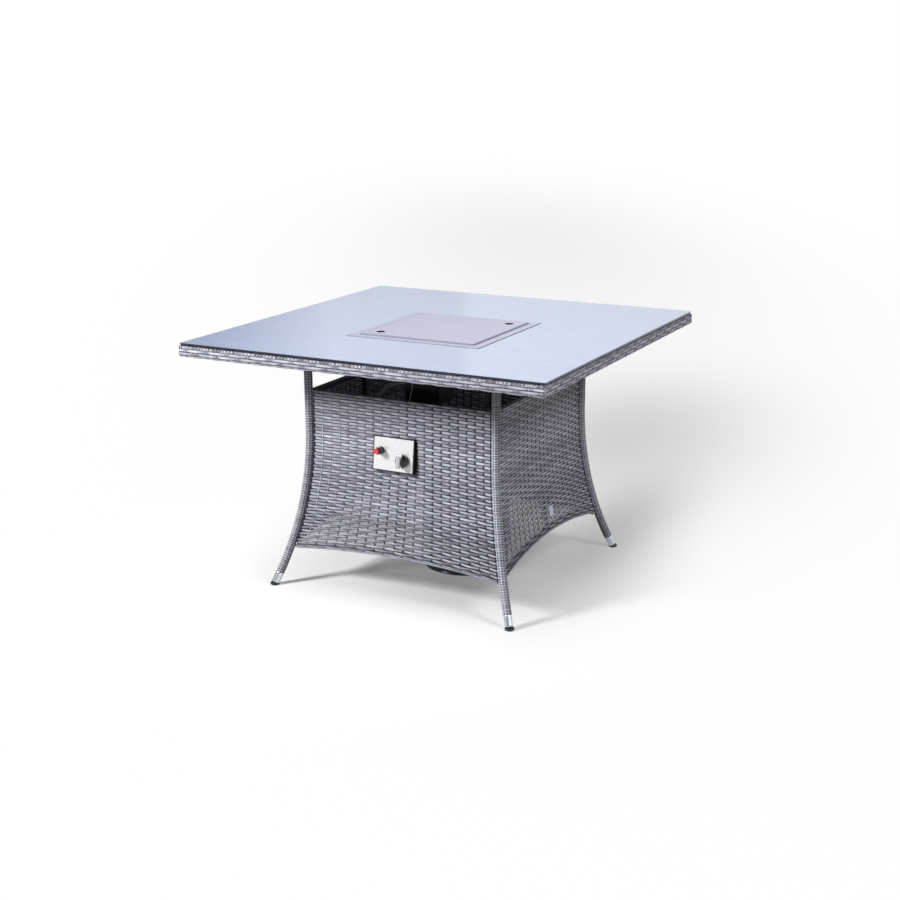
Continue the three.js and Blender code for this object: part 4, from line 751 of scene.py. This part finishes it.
def tabletop_rim():
    """Rows round the table's edge, stakes and corner strands over them, and ticks by the glass."""
    weave = Strands()
    bends = [side + RIM_STRAIGHT + (1 - RIM_STRAIGHT) * k / 8 for side in range(4) for k in range(9)]
    share = np.unique(np.r_[np.linspace(0, 4, RIM_STAKES * 4 * 8, endpoint=False), bends])[:-1]
    for row in range(8):
        over = wave(math.pi * (share * RIM_STAKES - 0.5 + row))
        level = 2.2 if row == 3 else 0.8  # painted light: the row in the lower bend is painted lighter, as it faces away from the light
        deeper = 0.85 if row in (0, 3) else 0  # flat strands stand out where the rim bends
        path = rim_path(share, ROW_START + RIM_ROW * row, 1.45 + deeper - 0.6 * over)
        # Painted shade darkens each row where it dives under a stake.
        weave.add(*path, 4.5, 1.3, closed=True, tone=rng.uniform(0.35, 0.75),
                  shade=level - 1.5 * hidden(over, 0.75))
    arcs = np.linspace(1.5, 68, 34)
    for stake in range(RIM_STAKES * 4):
        row = (arcs - ROW_START) / RIM_ROW
        sinks = 1.35 + 0.3 * wave(math.pi * (row + stake))
        path = rim_path((stake + 0.5) / RIM_STAKES, arcs, sinks)
        weave.add(*path, 1.9, 1.0, Strands.THIN, shade=0.2)
    for side in range(4):
        path = rim_path(side + (1 + RIM_STRAIGHT) / 2, arcs, 0.75)
        weave.add(*path, 3.2, 1.1, Strands.THIN, tone=0.95)
    # Painted shade: the ticks by the glass are painted dark as notches, though they face up to the
    # light.
    ticks = np.linspace(0.2, 9.5, 7)
    for tick in range(RIM_STAKES * 4 * 3):
        sinks = np.full(len(ticks), 0.65)
        sinks[[0, -1]] = 1.3
        lean = 0.0012 * (tick % 2) * np.linspace(0, 1, len(ticks))
        path = rim_path((tick + 0.3) / RIM_STAKES / 3 + lean, ticks, sinks)
        weave.add(*path, 3.4, 1.0, Strands.THIN, shade=-1.2)
    weave.finish("tabletop_rim", replaces=["tabletop_weave"])


DECK_EDGE = TOP_HALF - RIM_ROUNDING + 0.5
DECK_HEIGHT = RIM_TOP - 1.5
DECK_HOLE = 170.5
DECK_ROWS = 100
DECK_STAKES = 21  # on either side of the middle one


def deck_strand(weave, x, y, lift, half_width, thickness):
    """A strand of the deck, left out over the hole for the tray."""
    x, y = np.broadcast_arrays(x, y)
    path = np.stack([x, y, DECK_HEIGHT + lift], 1)
    covered = np.maximum(np.abs(x - BURNER[0]), np.abs(y - BURNER[1])) >= DECK_HOLE
    for part in runs(covered):
        up = np.tile((0, 0, 1.0), (len(path[part]), 1))
        weave.add(path[part], up, half_width, thickness, Strands.THIN)


def tabletop_deck():
    """The flat weave under the glass, in a left and a right half."""
    pitch = 2 * DECK_EDGE / DECK_ROWS
    for side, start, end in (("left", -DECK_EDGE, BURNER[0]), ("right", BURNER[0], DECK_EDGE)):
        weave = Strands()
        x = np.arange(start, end + 0.1, (end - start) / round((end - start) / (RIM_PITCH / 4)))
        for row in range(DECK_ROWS):
            lift = 0.75 * wave(math.pi * (x / RIM_PITCH + row))
            deck_strand(weave, x, -DECK_EDGE + (row + 0.5) * pitch, lift, 5, 1.2)
        y = np.linspace(-DECK_EDGE, DECK_EDGE, 2 * DECK_ROWS + 1)
        for stake in range(-DECK_STAKES, DECK_STAKES + 1):
            at = stake * RIM_PITCH
            if start < at < end:
                lift = -0.3 * wave(math.pi * ((y + DECK_EDGE) / pitch - 0.5 + stake))
                deck_strand(weave, at, y, lift, 1.6, 1.0)
        weave.finish(f"tabletop_deck_{side}", replaces=["tabletop_weave"])


# ---- Glass, burner and lid ----

PAD_PROFILE = [(0, 737.7), (5.6, 737.7), (6, 738), (6, 738.4), (5.4, 738.7), (0, 738.7)]


def glass_top():
    """The sheet with its dark edges, on four clear pads."""
    low, high, bevel = GLASS_LOW, GLASS_HIGH, 0.8
    outer = [(GLASS_HALF - bevel, low), (GLASS_HALF, low + bevel), (GLASS_HALF, high - bevel),
             (GLASS_HALF - bevel, high)]
    inner = [(CUTOUT_HALF + bevel, high), (CUTOUT_HALF, high - bevel), (CUTOUT_HALF, low + bevel),
             (CUTOUT_HALF + bevel, low)]
    loops = [square(half, RIM_CORNER - 4 - (GLASS_HALF - half), z, steps=10) for half, z in outer]
    loops += [square(half, 3, z, BURNER, steps=10) for half, z in inner]
    sheet = make("glass", *loft(loops, wrap=True), "glass", 30, replaces=["glass_top"])
    sheet.data.materials.append(FINISH["glass_edge"])
    for face in sheet.data.polygons:
        face.material_index = int(abs(face.normal.z) < 0.9)
    for name, (x, y) in CORNERS.items():
        centre = (x * (GLASS_HALF - 60), y * (GLASS_HALF - 60))
        make(f"pad_{name}", *turned(PAD_PROFILE, 0.2, 32, centre), "silicone",
             replaces=[f"glass_pad_{name}"])


def burner_tray():
    """The tray from its bottom up to the flange on the glass, and back down inside."""
    outside = [(0.5, TRAY_LOW), (TUB_HALF + WALL, TRAY_LOW), (TUB_HALF + WALL, LEDGE - WALL),
               (MOUTH_HALF + WALL, LEDGE - WALL), (MOUTH_HALF + WALL, FLANGE_TOP - WALL),
               (FLANGE_HALF - WALL, FLANGE_TOP - WALL), (FLANGE_HALF - WALL, FLANGE_LIP)]
    inside = [(FLANGE_HALF, FLANGE_LIP), (FLANGE_HALF, FLANGE_TOP), (FLANGE_HALF - 3, FLANGE_TOP),
              (MOUTH_HALF + 3, FLANGE_TOP), (MOUTH_HALF, FLANGE_TOP), (MOUTH_HALF, LEDGE),
              (TUB_HALF, LEDGE), (TUB_HALF, TRAY_LOW + WALL), (0.5, TRAY_LOW + WALL)]
    edged(make("tray", *squared(outside + inside, 3, BURNER, 0.5), "tray_steel", 20,
               replaces=["burner_tray"]))


def cut_away(piece, shape):
    """Subtracts a (points, faces) pair from a piece for good."""
    cutter = linked("cutter", points=shape[0], faces=shape[1])
    modifier = piece.modifiers.new("cut", "BOOLEAN")
    modifier.operation, modifier.object, modifier.solver = "DIFFERENCE", cutter, "EXACT"
    bpy.context.view_layer.update()
    graph = bpy.context.evaluated_depsgraph_get()
    result = bpy.data.meshes.new_from_object(piece.evaluated_get(graph))
    piece.modifiers.clear()
    old, piece.data = piece.data, result
    bpy.data.meshes.remove(old)
    bpy.data.objects.remove(cutter)


def edged(piece):
    """Shades the level faces flat and paints shade on the others: greyer edges, and black further
    inside, in the finger holes and the tray.
    """
    mesh = piece.data
    mesh.set_sharp_from_angle(angle=math.radians(20))
    mesh.materials.append(FINISH["steel_edge"])
    mesh.materials.append(FINISH["black_steel"])
    # Upright faces further in than this are painted black as shade in the finger holes and the tray;
    # the others get the darker edge steel as painted shade.
    inside = (LID_HALF - 8) * MM
    for face in mesh.polygons:
        x, y = face.center.x - BURNER[0] * MM, face.center.y - BURNER[1] * MM
        face.use_smooth = abs(face.normal.z) < 0.99
        if abs(face.normal.z) < 0.995:
            face.material_index = 2 if max(abs(x), abs(y)) < inside else 1


def lid():
    """The lid with a chamfered edge, a skirt that drops into the tray, and two finger holes."""
    top = LID_LOW + LID_THICKNESS
    low = LID_LOW - 12
    skirt = MOUTH_HALF - 2
    sheet = top - 1.5
    profile = [(0.5, sheet), (skirt - WALL, sheet), (skirt - WALL, low), (skirt, low),
               (skirt, LID_LOW), (LID_HALF, LID_LOW), (LID_HALF, top - LID_CHAMFER[1]),
               (LID_HALF - LID_CHAMFER[0], top), (0.5, top)]
    piece = make("lid_plate", *squared(profile, 3, BURNER, 0.4), "satin_steel", 20, "lid", ["lid"])
    for centre in LID_HOLES:
        hole = turned([(0, low - 5), (LID_HOLE_RADIUS, low - 5), (LID_HOLE_RADIUS, top - 0.6),
                       (LID_HOLE_RADIUS + 1.4, top + 0.8), (0, top + 0.8)], 0.05, 40, centre)
        cut_away(piece, hole)
    edged(piece)


RING_RADIUS = 100
RING_HEIGHT = 686


def burner_ring():
    """A ring of tube with its flame ports, crossed by an arm that carries the hub."""
    ring = loft([circle(RING_RADIUS + 8 * math.cos(a), RING_HEIGHT + 8 * math.sin(a), 64, BURNER)
                 for a in np.linspace(0, 2 * math.pi, 12, endpoint=False)], wrap=True)
    arm = tube([(BURNER[0] + x, BURNER[1], RING_HEIGHT) for x in np.linspace(-99, 99, 9)], 7, 20)
    hub = turned([(0, 677), (14, 677), (14, 695), (0, 695)], 1.2, 40, BURNER)
    port = [(1.2, 692.8), (2.4, 692.8), (2.2, 694.6), (1.3, 694.6)]
    ports = [turned(port, 0.1, 12, (BURNER[0] + RING_RADIUS * math.cos(angle),
                                    BURNER[1] + RING_RADIUS * math.sin(angle)), wrap=True)
             for angle in np.linspace(0, 2 * math.pi, 24, endpoint=False)]
    make("ring", *merged(ring, arm, hub, *ports), "satin_steel", 50, replaces=["burner_ring"])


def rocks():
    """Loose lava rocks, heaped to an even level in the tray."""
    shapes = []
    half, top, count = 154, 713, 11
    pitch = 2 * half / count
    for layer, i, j in np.ndindex(2, count, count):
        size = rng.uniform(11.5, 16.5) - layer
        reach = half - size * 0.98
        x = np.clip(-half + (i + 0.5 + 0.5 * layer) * pitch + rng.uniform(-4, 4), -reach, reach)
        y = np.clip(-half + (j + 0.5) * pitch + rng.uniform(-4, 4), -reach, reach)
        z = top - size - rng.uniform(0, 5) - 14 * layer
        shapes.append(rock(size, (BURNER[0] + x, BURNER[1] + y, z), 3 if layer == 0 else 2))
    make("rocks", *merged(*shapes), "lava_rock", 60, replaces=["lava_rock_bed"])


def rock(size, centre, detail):
    """A lumpy ball with a flattened top."""
    bm = bmesh.new()
    bmesh.ops.create_icosphere(bm, subdivisions=detail, radius=1)
    seed = Vector(rng.uniform(-50, 50, 3))
    scale = rng.uniform(0.75, 1.0, 3)
    for v in bm.verts:
        way = v.co.normalized()
        lump = 1 + 0.30 * noise.noise(way * 1.3 + seed) + 0.14 * noise.noise(way * 3.7 + seed)
        lump += 0.05 * noise.noise(way * 9 + seed)
        v.co = Vector(way[k] * scale[k] * lump * size * 0.94 for k in range(3))
    points, faces = taken(bm)
    points[:, 2] = np.minimum(points[:, 2], size)
    return points + np.array(centre), faces


def grate():
    """Eleven bars in a square frame."""
    half, low, high, bar, gaps = 164, 720.3, 727.3, 6, 12
    inner = half - bar

    def bars(x, y, half_x, half_y, sunk, bevel):
        return block((BURNER[0] + x - half_x, BURNER[1] + y - half_y, low + sunk),
                     (BURNER[0] + x + half_x, BURNER[1] + y + half_y, high - sunk), bevel)

    shapes = []
    for at in (bar / 2 - half, half - bar / 2):
        shapes += [bars(0, at, half, bar / 2, 0, 1.6), bars(at, 0, bar / 2, half, 0, 1.6)]
    for k in range(1, gaps):
        shapes.append(bars(2 * inner * k / gaps - inner, 0, bar / 2, inner + 1, 1, 2.2))
    make("grate", *merged(*shapes), "cast_iron", replaces=["burner_grate"])


JET_Y, JET_Z = -160, 602
MIXER_BEND = 24


def gas_fittings():
    """The jet with its nut, the two probes in front of the burner, and the mixer tube to the hub."""
    along_x = Matrix.Translation((-39, JET_Y, JET_Z)) @ Matrix.Rotation(math.pi / 2, 4, "Y")
    nut = turned([(0, -8.3), (8, -8.3), (9, -7.5), (9, -1.1), (8, -0.3), (0, -0.3)], 0.2, 6)
    jet = turned([(0, -0.5), (6, -0.5), (6, 24), (3, 30), (0, 30)], 0.6, 32)
    make("jet", *merged(placed(nut, along_x), placed(jet, along_x)), "brass", replaces=["gas_jet"])
    probe = [(0, 645), (3, 645), (3, 656), (3.4, 656.4), (3.4, 658.6), (3, 659), (3, 679),
             (1.2, 680.5), (1.2, 687), (0, 687)]
    for name, node, x, finish in (("electrode", "igniter_electrode", -9, "ceramic"),
                                  ("flame_probe", "thermocouple", 62, "copper")):
        make(name, *turned(probe, 0.3, 24, (x, -203)), finish, replaces=[node])
    x, y = BURNER
    bend = [(MIXER_BEND * (1 - s) ** 2, MIXER_BEND * s ** 2) for s in np.linspace(0, 1, 9)]
    path = [(-8.7, JET_Y, JET_Z), (-4, JET_Y, JET_Z)]
    path += [(x - before, JET_Y + after, JET_Z) for before, after in bend]
    path += [(x, along, JET_Z) for along in np.linspace(-130, -80, 6)]
    path += [(x, y - before, JET_Z + after) for before, after in bend]
    path += [(x, y, height) for height in np.linspace(632, 676.7, 5)]
    make("mixer", *tube(even(np.array(path, float), 4), 10, 32), "satin_steel",
         replaces=["mixer_tube"])


# ---- Controls ----

def on_plate(x=0, y=0):
    """The matrix that carries Z out of the control plate at a point on it."""
    return (Matrix.Translation(PLATE_CENTRE) @ Matrix.Rotation(math.pi / 2 - PLATE_LEAN, 4, "X")
            @ Matrix.Translation((x, y, 0)))


def knob():
    """A ridged skirt and the bar by which it is turned."""
    skirt = turned([(0, 3.6), (18.2, 3.6), (19, 4.6), (19, 10.2), (17.6, 12.2), (0, 12.6)], 0.8, 64)
    ridges = circled(block((18.3, -0.55, 4.8), (19.25, 0.55, 10), 0.3, 1), 36)
    make("knob_skirt", *placed(merged(skirt, *ridges), on_plate(*KNOB_AT)), "dark_chrome", 40, "knob",
         ["gas_knob"])
    grip = []
    turn = 2 * math.pi * np.arange(48) / 48
    cos, sin = np.cos(turn), np.sin(turn)
    for z, swell in ((12, 1.06), (15, 1.0), (22, 0.97), (28.5, 0.94), (30.6, 0.88), (31.6, 0.74)):
        half_width, reach = 6.5 * swell, 18.4 * (1 - (1 - swell) * 0.35)
        grip.append(np.stack([half_width * np.copysign(np.abs(cos) ** 0.55, cos),
                              reach * np.copysign(np.abs(sin) ** 0.62, sin), np.full(48, z)], 1))
    make("knob_grip", *placed(loft(grip), on_plate(*KNOB_AT)), "knob_chrome", 40, "knob",
         ["gas_knob"])


def igniter():
    """The barrel with its long sleeve, and the red button in it."""
    barrel = [(0, -48), (7, -48), (8.7, -46.5), (8.7, 0.3), (12, 0.3), (12, 2.4), (11.2, 3.2),
              (10.5, 4), (10.5, 20), (9.8, 21), (8.6, 21), (8.4, 20.2), (8.4, -16), (0, -16)]
    make("igniter_barrel", *placed(turned(barrel, 0.3, 48), on_plate(*IGNITER_AT)), "black_plastic",
         replaces=["igniter_housing"])
    button = [(0, -8), (8.1, -8), (8.1, 28.2), (7.4, 29.6), (6, 30), (5.2, 29.5), (0, 29.2)]
    make("button", *placed(turned(button, 0.5, 48), on_plate(*IGNITER_AT)), "red_plastic",
         body="igniter_button", replaces=["igniter_button"])


# ---- Gas bottle ----

def dome(radius, rise, base, end, steps):
    """An elliptic arc of (radius, height) pairs from the widest point in to a radius."""
    last = math.acos(end / radius)
    return [(radius * math.cos(last * k / steps), base + rise * math.sin(last * k / steps))
            for k in range(steps + 1)]


BOTTLE_RADIUS = 134
SHOULDER, SHOULDER_RISE = 330, 70
COLLAR_RADIUS = 75


def bottle():
    """The bottle with its weld bead and foot, and the collar with a window round the valve."""
    ring = [(125.5, 2.2), (127.2, 0), (129.6, 0.6), (130.2, 3.4), (128.4, 6), (128, 60), (125.5, 60),
            (125.5, 7)]
    body = dome(BOTTLE_RADIUS, -46, 62, 8, 14)[::-1]
    body += [(134.2, 188), (135, 190), (135, 193), (134.2, 195), (BOTTLE_RADIUS, SHOULDER)]
    body += dome(BOTTLE_RADIUS, SHOULDER_RISE, SHOULDER, 14, 16)[1:] + [(14, 402), (0, 402)]
    body = [(0, body[0][1])] + body
    outer = loft([circle(r, z, 96, BOTTLE) for r, z in body])
    foot = turned(ring, 0.8, 96, BOTTLE, wrap=True)
    make("bottle", *merged(outer, foot), "green_paint", 50, replaces=["gas_bottle"])

    low = SHOULDER + SHOULDER_RISE * math.sqrt(1 - (COLLAR_RADIUS / BOTTLE_RADIUS) ** 2) - 1
    collar = [(73.5, low), (76, low), (76, 452.5), (77.2, 454), (76.2, 455.6), (73.6, 455.4),
              (73.2, 453.4)]
    piece = make("collar", *turned(collar, 0.9, 96, BOTTLE, wrap=True), "green_paint", 50,
                 replaces=["bottle_collar"])
    x, y = BOTTLE
    cut_away(piece, block((x - 45, y + 20, 408), (x + 45, y + 140, 443), 8, 5))


def bottle_fittings():
    """The bottle's valve and the regulator on it, with its ribs, outlet and switch."""
    valve = [(0, 388), (13, 388), (13, 401), (16, 401.5), (16, 404), (14, 404.6), (14, 425),
             (17, 429), (17, 436), (16, 437), (0, 437)]
    make("bottle_tap", *turned(valve, 0.6, 48, BOTTLE), "brass", replaces=["bottle_valve"])
    body = [(0, 437.3), (21, 437.3), (24, 440), (24, 458), (26.4, 462), (30, 466.3), (30, 473),
            (27.6, 478), (17.6, 480.2), (0, 480.3)]
    ribs = circled(block((23.2, -1.4, 441), (25.4, 1.4, 457), 0.7, 2), 16, BOTTLE)
    outlet_x = Matrix.Translation((*BOTTLE, 463)) @ Matrix.Rotation(-math.pi / 2, 4, "Y")
    outlet = turned([(0, 20), (8.5, 20), (8.5, 36), (6, 38), (6, 44), (6.8, 45), (6, 49), (6.8, 50),
                     (6, 54), (6.8, 55), (5.6, 61.8), (0, 62)], 0.4, 32)
    make("regulator_body", *merged(turned(body, 1.2, 64, BOTTLE), placed(outlet, outlet_x), *ribs),
         "aluminium", 45, replaces=["regulator"])
    disc = turned([(0, 480.6), (20, 480.6), (20, 485.4), (18.6, 486.6), (0, 486.8)], 0.8, 64, BOTTLE)
    x, y = BOTTLE
    grip = block((x - 4.5, y - 18.5, 485), (x + 4.5, y + 18.5, 494.6), 2.4, 4)
    ridges = circled(block((19.4, -0.6, 481.4), (20.3, 0.6, 485), 0.3, 1), 30, BOTTLE)
    make("tap_switch", *merged(disc, grip, *ridges), "black_plastic", 45, "regulator_switch",
         ["regulator_switch"])


# ---- Hoses and leads ----

def plate_point(x, y, z):
    """A point given from the control plate's middle, in the table's frame."""
    return tuple(on_plate() @ Vector((x, y, z)))


VALVE_PORT = (KNOB_AT[0] - 34, KNOB_AT[1], -62)
VALVE_INLET = (KNOB_AT[0], KNOB_AT[1] - 34, -62)
ROUTES = {
    "burner_hose": [
        plate_point(VALVE_PORT[0] - 0.3, *VALVE_PORT[1:]),
        plate_point(VALVE_PORT[0] - 14, *VALVE_PORT[1:]),
        (-61, -248.5, 408.7), (-86, -244, 418.8), (-109, -236.8, 434.5), (-127, -227.5, 454.7),
        (-142, -205, 503.8), (-138, -182.5, 552.9), (-126, -173, 573), (-109.4, -166, 588.8),
        (-88, -161.5, 598.5), (-61.3, -160, 602), (-47.6, -160, 602),
    ],
    "supply_hose": [
        (-30.3, 50, 463), (-56, 50, 463), (-75.5, 48, 461.6), (-94.5, 41.9, 457.6), (-127, 22.3, 444.6),
        (-150.4, -5.1, 426.3), (-164.1, -36.8, 404.7), (-169, -70.1, 381.3), (-166.1, -103, 357.1),
        (-157, -133, 334), (-143, -161, 314), (-120.6, -187.1, 295.9), (-91.6, -212.4, 282.9),
        (-57.8, -233.8, 280.6), (-23.5, -249.2, 293), (3.8, -256.7, 320.5), (12.3, -257, 340),
        plate_point(VALVE_INLET[0], VALVE_INLET[1] - 14, -62),
        plate_point(VALVE_INLET[0], VALVE_INLET[1] - 0.3, -62),
    ],
    "igniter_lead": [
        plate_point(*IGNITER_AT, -48.3), (-57, -251, 429), (-55, -240, 434), (-49, -230, 452),
        (-39, -223, 484), (-26, -217, 528), (-15, -211, 572), (-10, -206, 608), (-9, -203, 632.7),
        (-9, -203, 644.7),
    ],
    "thermocouple_lead": [
        plate_point(*KNOB_AT, -75.3), (14.6, -228, 403.2), (17.5, -217, 408), (24, -211.5, 421),
        (34, -211, 445), (44, -211, 482), (52, -211, 525), (58, -210, 570), (61, -207, 608),
        (62, -203, 632.7), (62, -203, 644.7),
    ],
}


def hose(name, radius, finish, rib=0.0):
    """A hose or lead along its route, ribbed or plain."""
    path = smooth_path(ROUTES[name], radius * (0.45 if rib else 0.9))
    radii = radius - rib * (np.arange(len(path)) % 2)
    piece = make(f"{name}_tube", *tube(path, radii, 20), finish, 80, replaces=[name])


# ---- CAD nodes that stay ----

def dress(node, finish, bevel):
    """Gives a CAD piece that stays its finish and soft edges."""
    piece = bpy.data.objects[node]
    piece.data.materials.clear()
    piece.data.materials.append(FINISH[finish])
    if bevel:
        edge = piece.modifiers.new("edge", "BEVEL")
        edge.width, edge.segments, edge.limit_method = bevel * MM, 2, "ANGLE"
        edge.harden_normals = False


def dress_frame():
    """Every CAD piece that nothing here replaces."""
    dress("tabletop_frame", "frame_steel", 0.8)
    for side in SIDES:
        dress(f"panel_frame_{side}", "frame_steel", 0.8)
    for name in CORNERS:
        dress(f"leg_tube_{name}", "frame_steel", 0)
    dress("air_box", "black_steel", 0.4)
    dress("control_box", "black_steel", 0.5)
    dress("control_plate", "mirror_steel", 0.2)
    dress("valve_body", "brass", 0.8)
    dress("valve_plug", "brass", 0.2)
    dress("valve_stem", "satin_steel", 0.4)
    dress("igniter_nut", "black_plastic", 0.4)
    dress("tag_plate", "satin_steel", 0.3)


# ---- Studio ----

CAMERA_AT = (1940.67, -3708.84, 1537.96)
CAMERA_TURN = (-0.4816, 0.2730, -0.0035)  # yaw, pitch and roll
CAMERA_LENS = 57.81
WALL_CORNER = -0.4706  # the heading of the studio's corner, from +Y towards +X
WORLD_LIGHT = 0.09
FLOOR_PAINTED_SHADOWS = [  # painted shadows, the soft greys behind the table: centre, turn, half lengths and depth
    ((0.335, 0.411), 0.08, (0.128, 0.427), 0.41),
    ((-0.06, 1.623), 0.148, (0.395, 0.784), 0.323),
    ((-2.831, 6.886), 0.505, (1.069, 3.463), 0.131),
]


def camera():
    """The photograph's camera: yaw turns it right, pitch tips it down, roll lifts its right side."""
    data = bpy.data.cameras.new("camera")
    data.lens, data.sensor_width, data.clip_end = CAMERA_LENS, 36, 200
    made = linked("camera", data)
    yaw, pitch, roll = CAMERA_TURN
    level = math.cos(pitch)
    ahead = Vector((math.sin(yaw) * level, math.cos(yaw) * level, -math.sin(pitch)))
    right = Vector((math.cos(yaw), -math.sin(yaw), 0))
    up = right.cross(ahead)
    right = right * math.cos(roll) + up * math.sin(roll)
    turn = Matrix((right, right.cross(ahead), -ahead)).transposed()
    made.matrix_world = Matrix.Translation(Vector(CAMERA_AT) * MM) @ turn.to_4x4()
    bpy.context.scene.camera = made


def lamp(name, at, size, power, aim=(0, 0, 0.4)):
    """A white disk, aimed at a point."""
    data = bpy.data.lights.new(name, "AREA")
    data.shape, data.size, data.energy = "DISK", size, power
    made = linked(name, data)
    made.location = at
    made.rotation_euler = (Vector(aim) - Vector(at)).to_track_quat("-Z", "Y").to_euler()


WHITE = (1, 1, 1, 1)


def floor():
    """White paper that takes shadows near the table and glows evenly further off.

    Soft painted shadows are taken off the glow, and a painted shadow darkens a spot under the table."""
    points, faces = loft([circle(radius * 1000, 0, 96) for radius in (24, 6, 3, 1)])
    del faces[-2]  # the outer ring's cap, which would lie over the inner rings
    made = linked("floor", points=points, faces=faces)
    n = Nodes("floor")
    where = n.add("TexCoord").outputs["Object"]

    def spot(centre, turn, scale, power=2):
        """Falls from 1 at the centre, over an ellipse of the given half lengths."""
        node = n.add("Mapping", {"Vector": where, "Location": (*centre, 0), "Rotation": (0, 0, turn),
                                 "Scale": (*scale, 1)}, vector_type="TEXTURE")
        far = n.add("VectorMath", {0: node.outputs[0]}, operation="LENGTH").outputs["Value"]
        return n.math("EXPONENT", n.math("MULTIPLY", n.math("POWER", far, power), -0.5))

    near = spot((-0.14, -0.12), 0, (0.6, 0.6), 4)
    # A painted shadow under the table, darkening the paint by up to a quarter.
    under = spot((0.12, -0.22), 0.2, (0.22, 0.12))
    # The painted shadows, added up, dim the glow further off.
    cast = 0.0
    for centre, turn, scale, depth in FLOOR_PAINTED_SHADOWS:
        cast = n.math("MULTIPLY_ADD", spot(centre, turn, scale), depth, cast)
    seen = shown(n)
    white = n.mix(n.math("MULTIPLY", under, 0.25), (0.93, 0.93, 0.935, 1), (0, 0, 0, 1))
    paint = n.add("BsdfDiffuse", {"Color": n.mix(seen, (0.24, 0.24, 0.24, 1), white)})
    lift = n.add("Emission", {"Color": WHITE, "Strength": n.math("MULTIPLY", seen, 0.14)})
    near_floor = n.add("AddShader", {0: paint.outputs[0], 1: lift.outputs[0]})
    glow = n.add("Emission", {"Color": WHITE, "Strength": n.math("SUBTRACT", 1.0, cast)})
    far = n.math("MULTIPLY", n.math("SUBTRACT", 1.0, near), seen)
    mixed = n.add("MixShader", {0: far, 1: near_floor.outputs[0], 2: glow.outputs[0]})
    n.put(n.out.inputs["Surface"], mixed.outputs[0])
    made.data.materials.append(n.owner)


def shown(n):
    """1 for the rays that show the studio itself: to the camera, in metal and through glass."""
    ray = n.add("LightPath").outputs
    mirrored = n.math("MAXIMUM", ray["Is Glossy Ray"], ray["Is Transmission Ray"])
    return n.math("MAXIMUM", ray["Is Camera Ray"], mirrored)


def sky():
    """A white studio whose left side is greyer in reflections, past a corner behind the table."""
    n = Nodes("studio", world=True)
    x, y, _ = n.add("SeparateXYZ", {"Vector": n.add("TexCoord").outputs["Generated"]}).outputs
    right = n.math("SUBTRACT", n.math("MULTIPLY", x, math.cos(WALL_CORNER)),
                   n.math("MULTIPLY", y, math.sin(WALL_CORNER)))

    def step(start, end, low, high):
        """Goes from one level to another between two places along right."""
        return n.add("MapRange", {"Value": right, "From Min": start, "From Max": end, "To Min": low,
                                  "To Max": high}).outputs[0]

    reflected = n.math("ADD", step(-0.004, 0.004, 0, 0.2), step(-0.178, -0.092, 0.05, 0.8))
    glossy = n.add("LightPath").outputs["Is Glossy Ray"]
    grey = n.math("MULTIPLY", glossy, n.math("SUBTRACT", 1.0, reflected))
    light = n.math("MULTIPLY_ADD", shown(n), 1 - WORLD_LIGHT, WORLD_LIGHT)
    strength = n.math("MULTIPLY", n.math("SUBTRACT", 1.0, grey), light)
    back = n.add("Background", {"Color": WHITE, "Strength": strength})
    n.put(n.out.inputs["Surface"], back.outputs[0])
    bpy.context.scene.world = n.owner


# ---- Making ----

bpy.context.scene.view_settings.view_transform = "Standard"
camera()
hose("burner_hose", 5.5, "grey_hose", rib=0.5)
hose("supply_hose", 7, "black_rubber")
hose("igniter_lead", 1.5, "silicone")
hose("thermocouple_lead", 1.5, "black_rubber")
for side in SIDES:
    panel(side)
for corner_name, corner_signs in CORNERS.items():
    leg_wrap(corner_name, corner_signs)
    leg_foot(corner_name, corner_signs)
tabletop_rim()
tabletop_deck()
glass_top()
burner_tray()
lid()
burner_ring()
rocks()
grate()
gas_fittings()
knob()
igniter()
bottle()
bottle_fittings()
dress_frame()
floor()
sky()
lamp("key", (-2.6, -3.5, 2.75), 1.1, 272)
lamp("fill", (3.4, -1.0, 3.2), 1.4, 66)
lamp("overhead", (0, 0, 4.2), 3.0, 62, aim=(0, 0, 0))
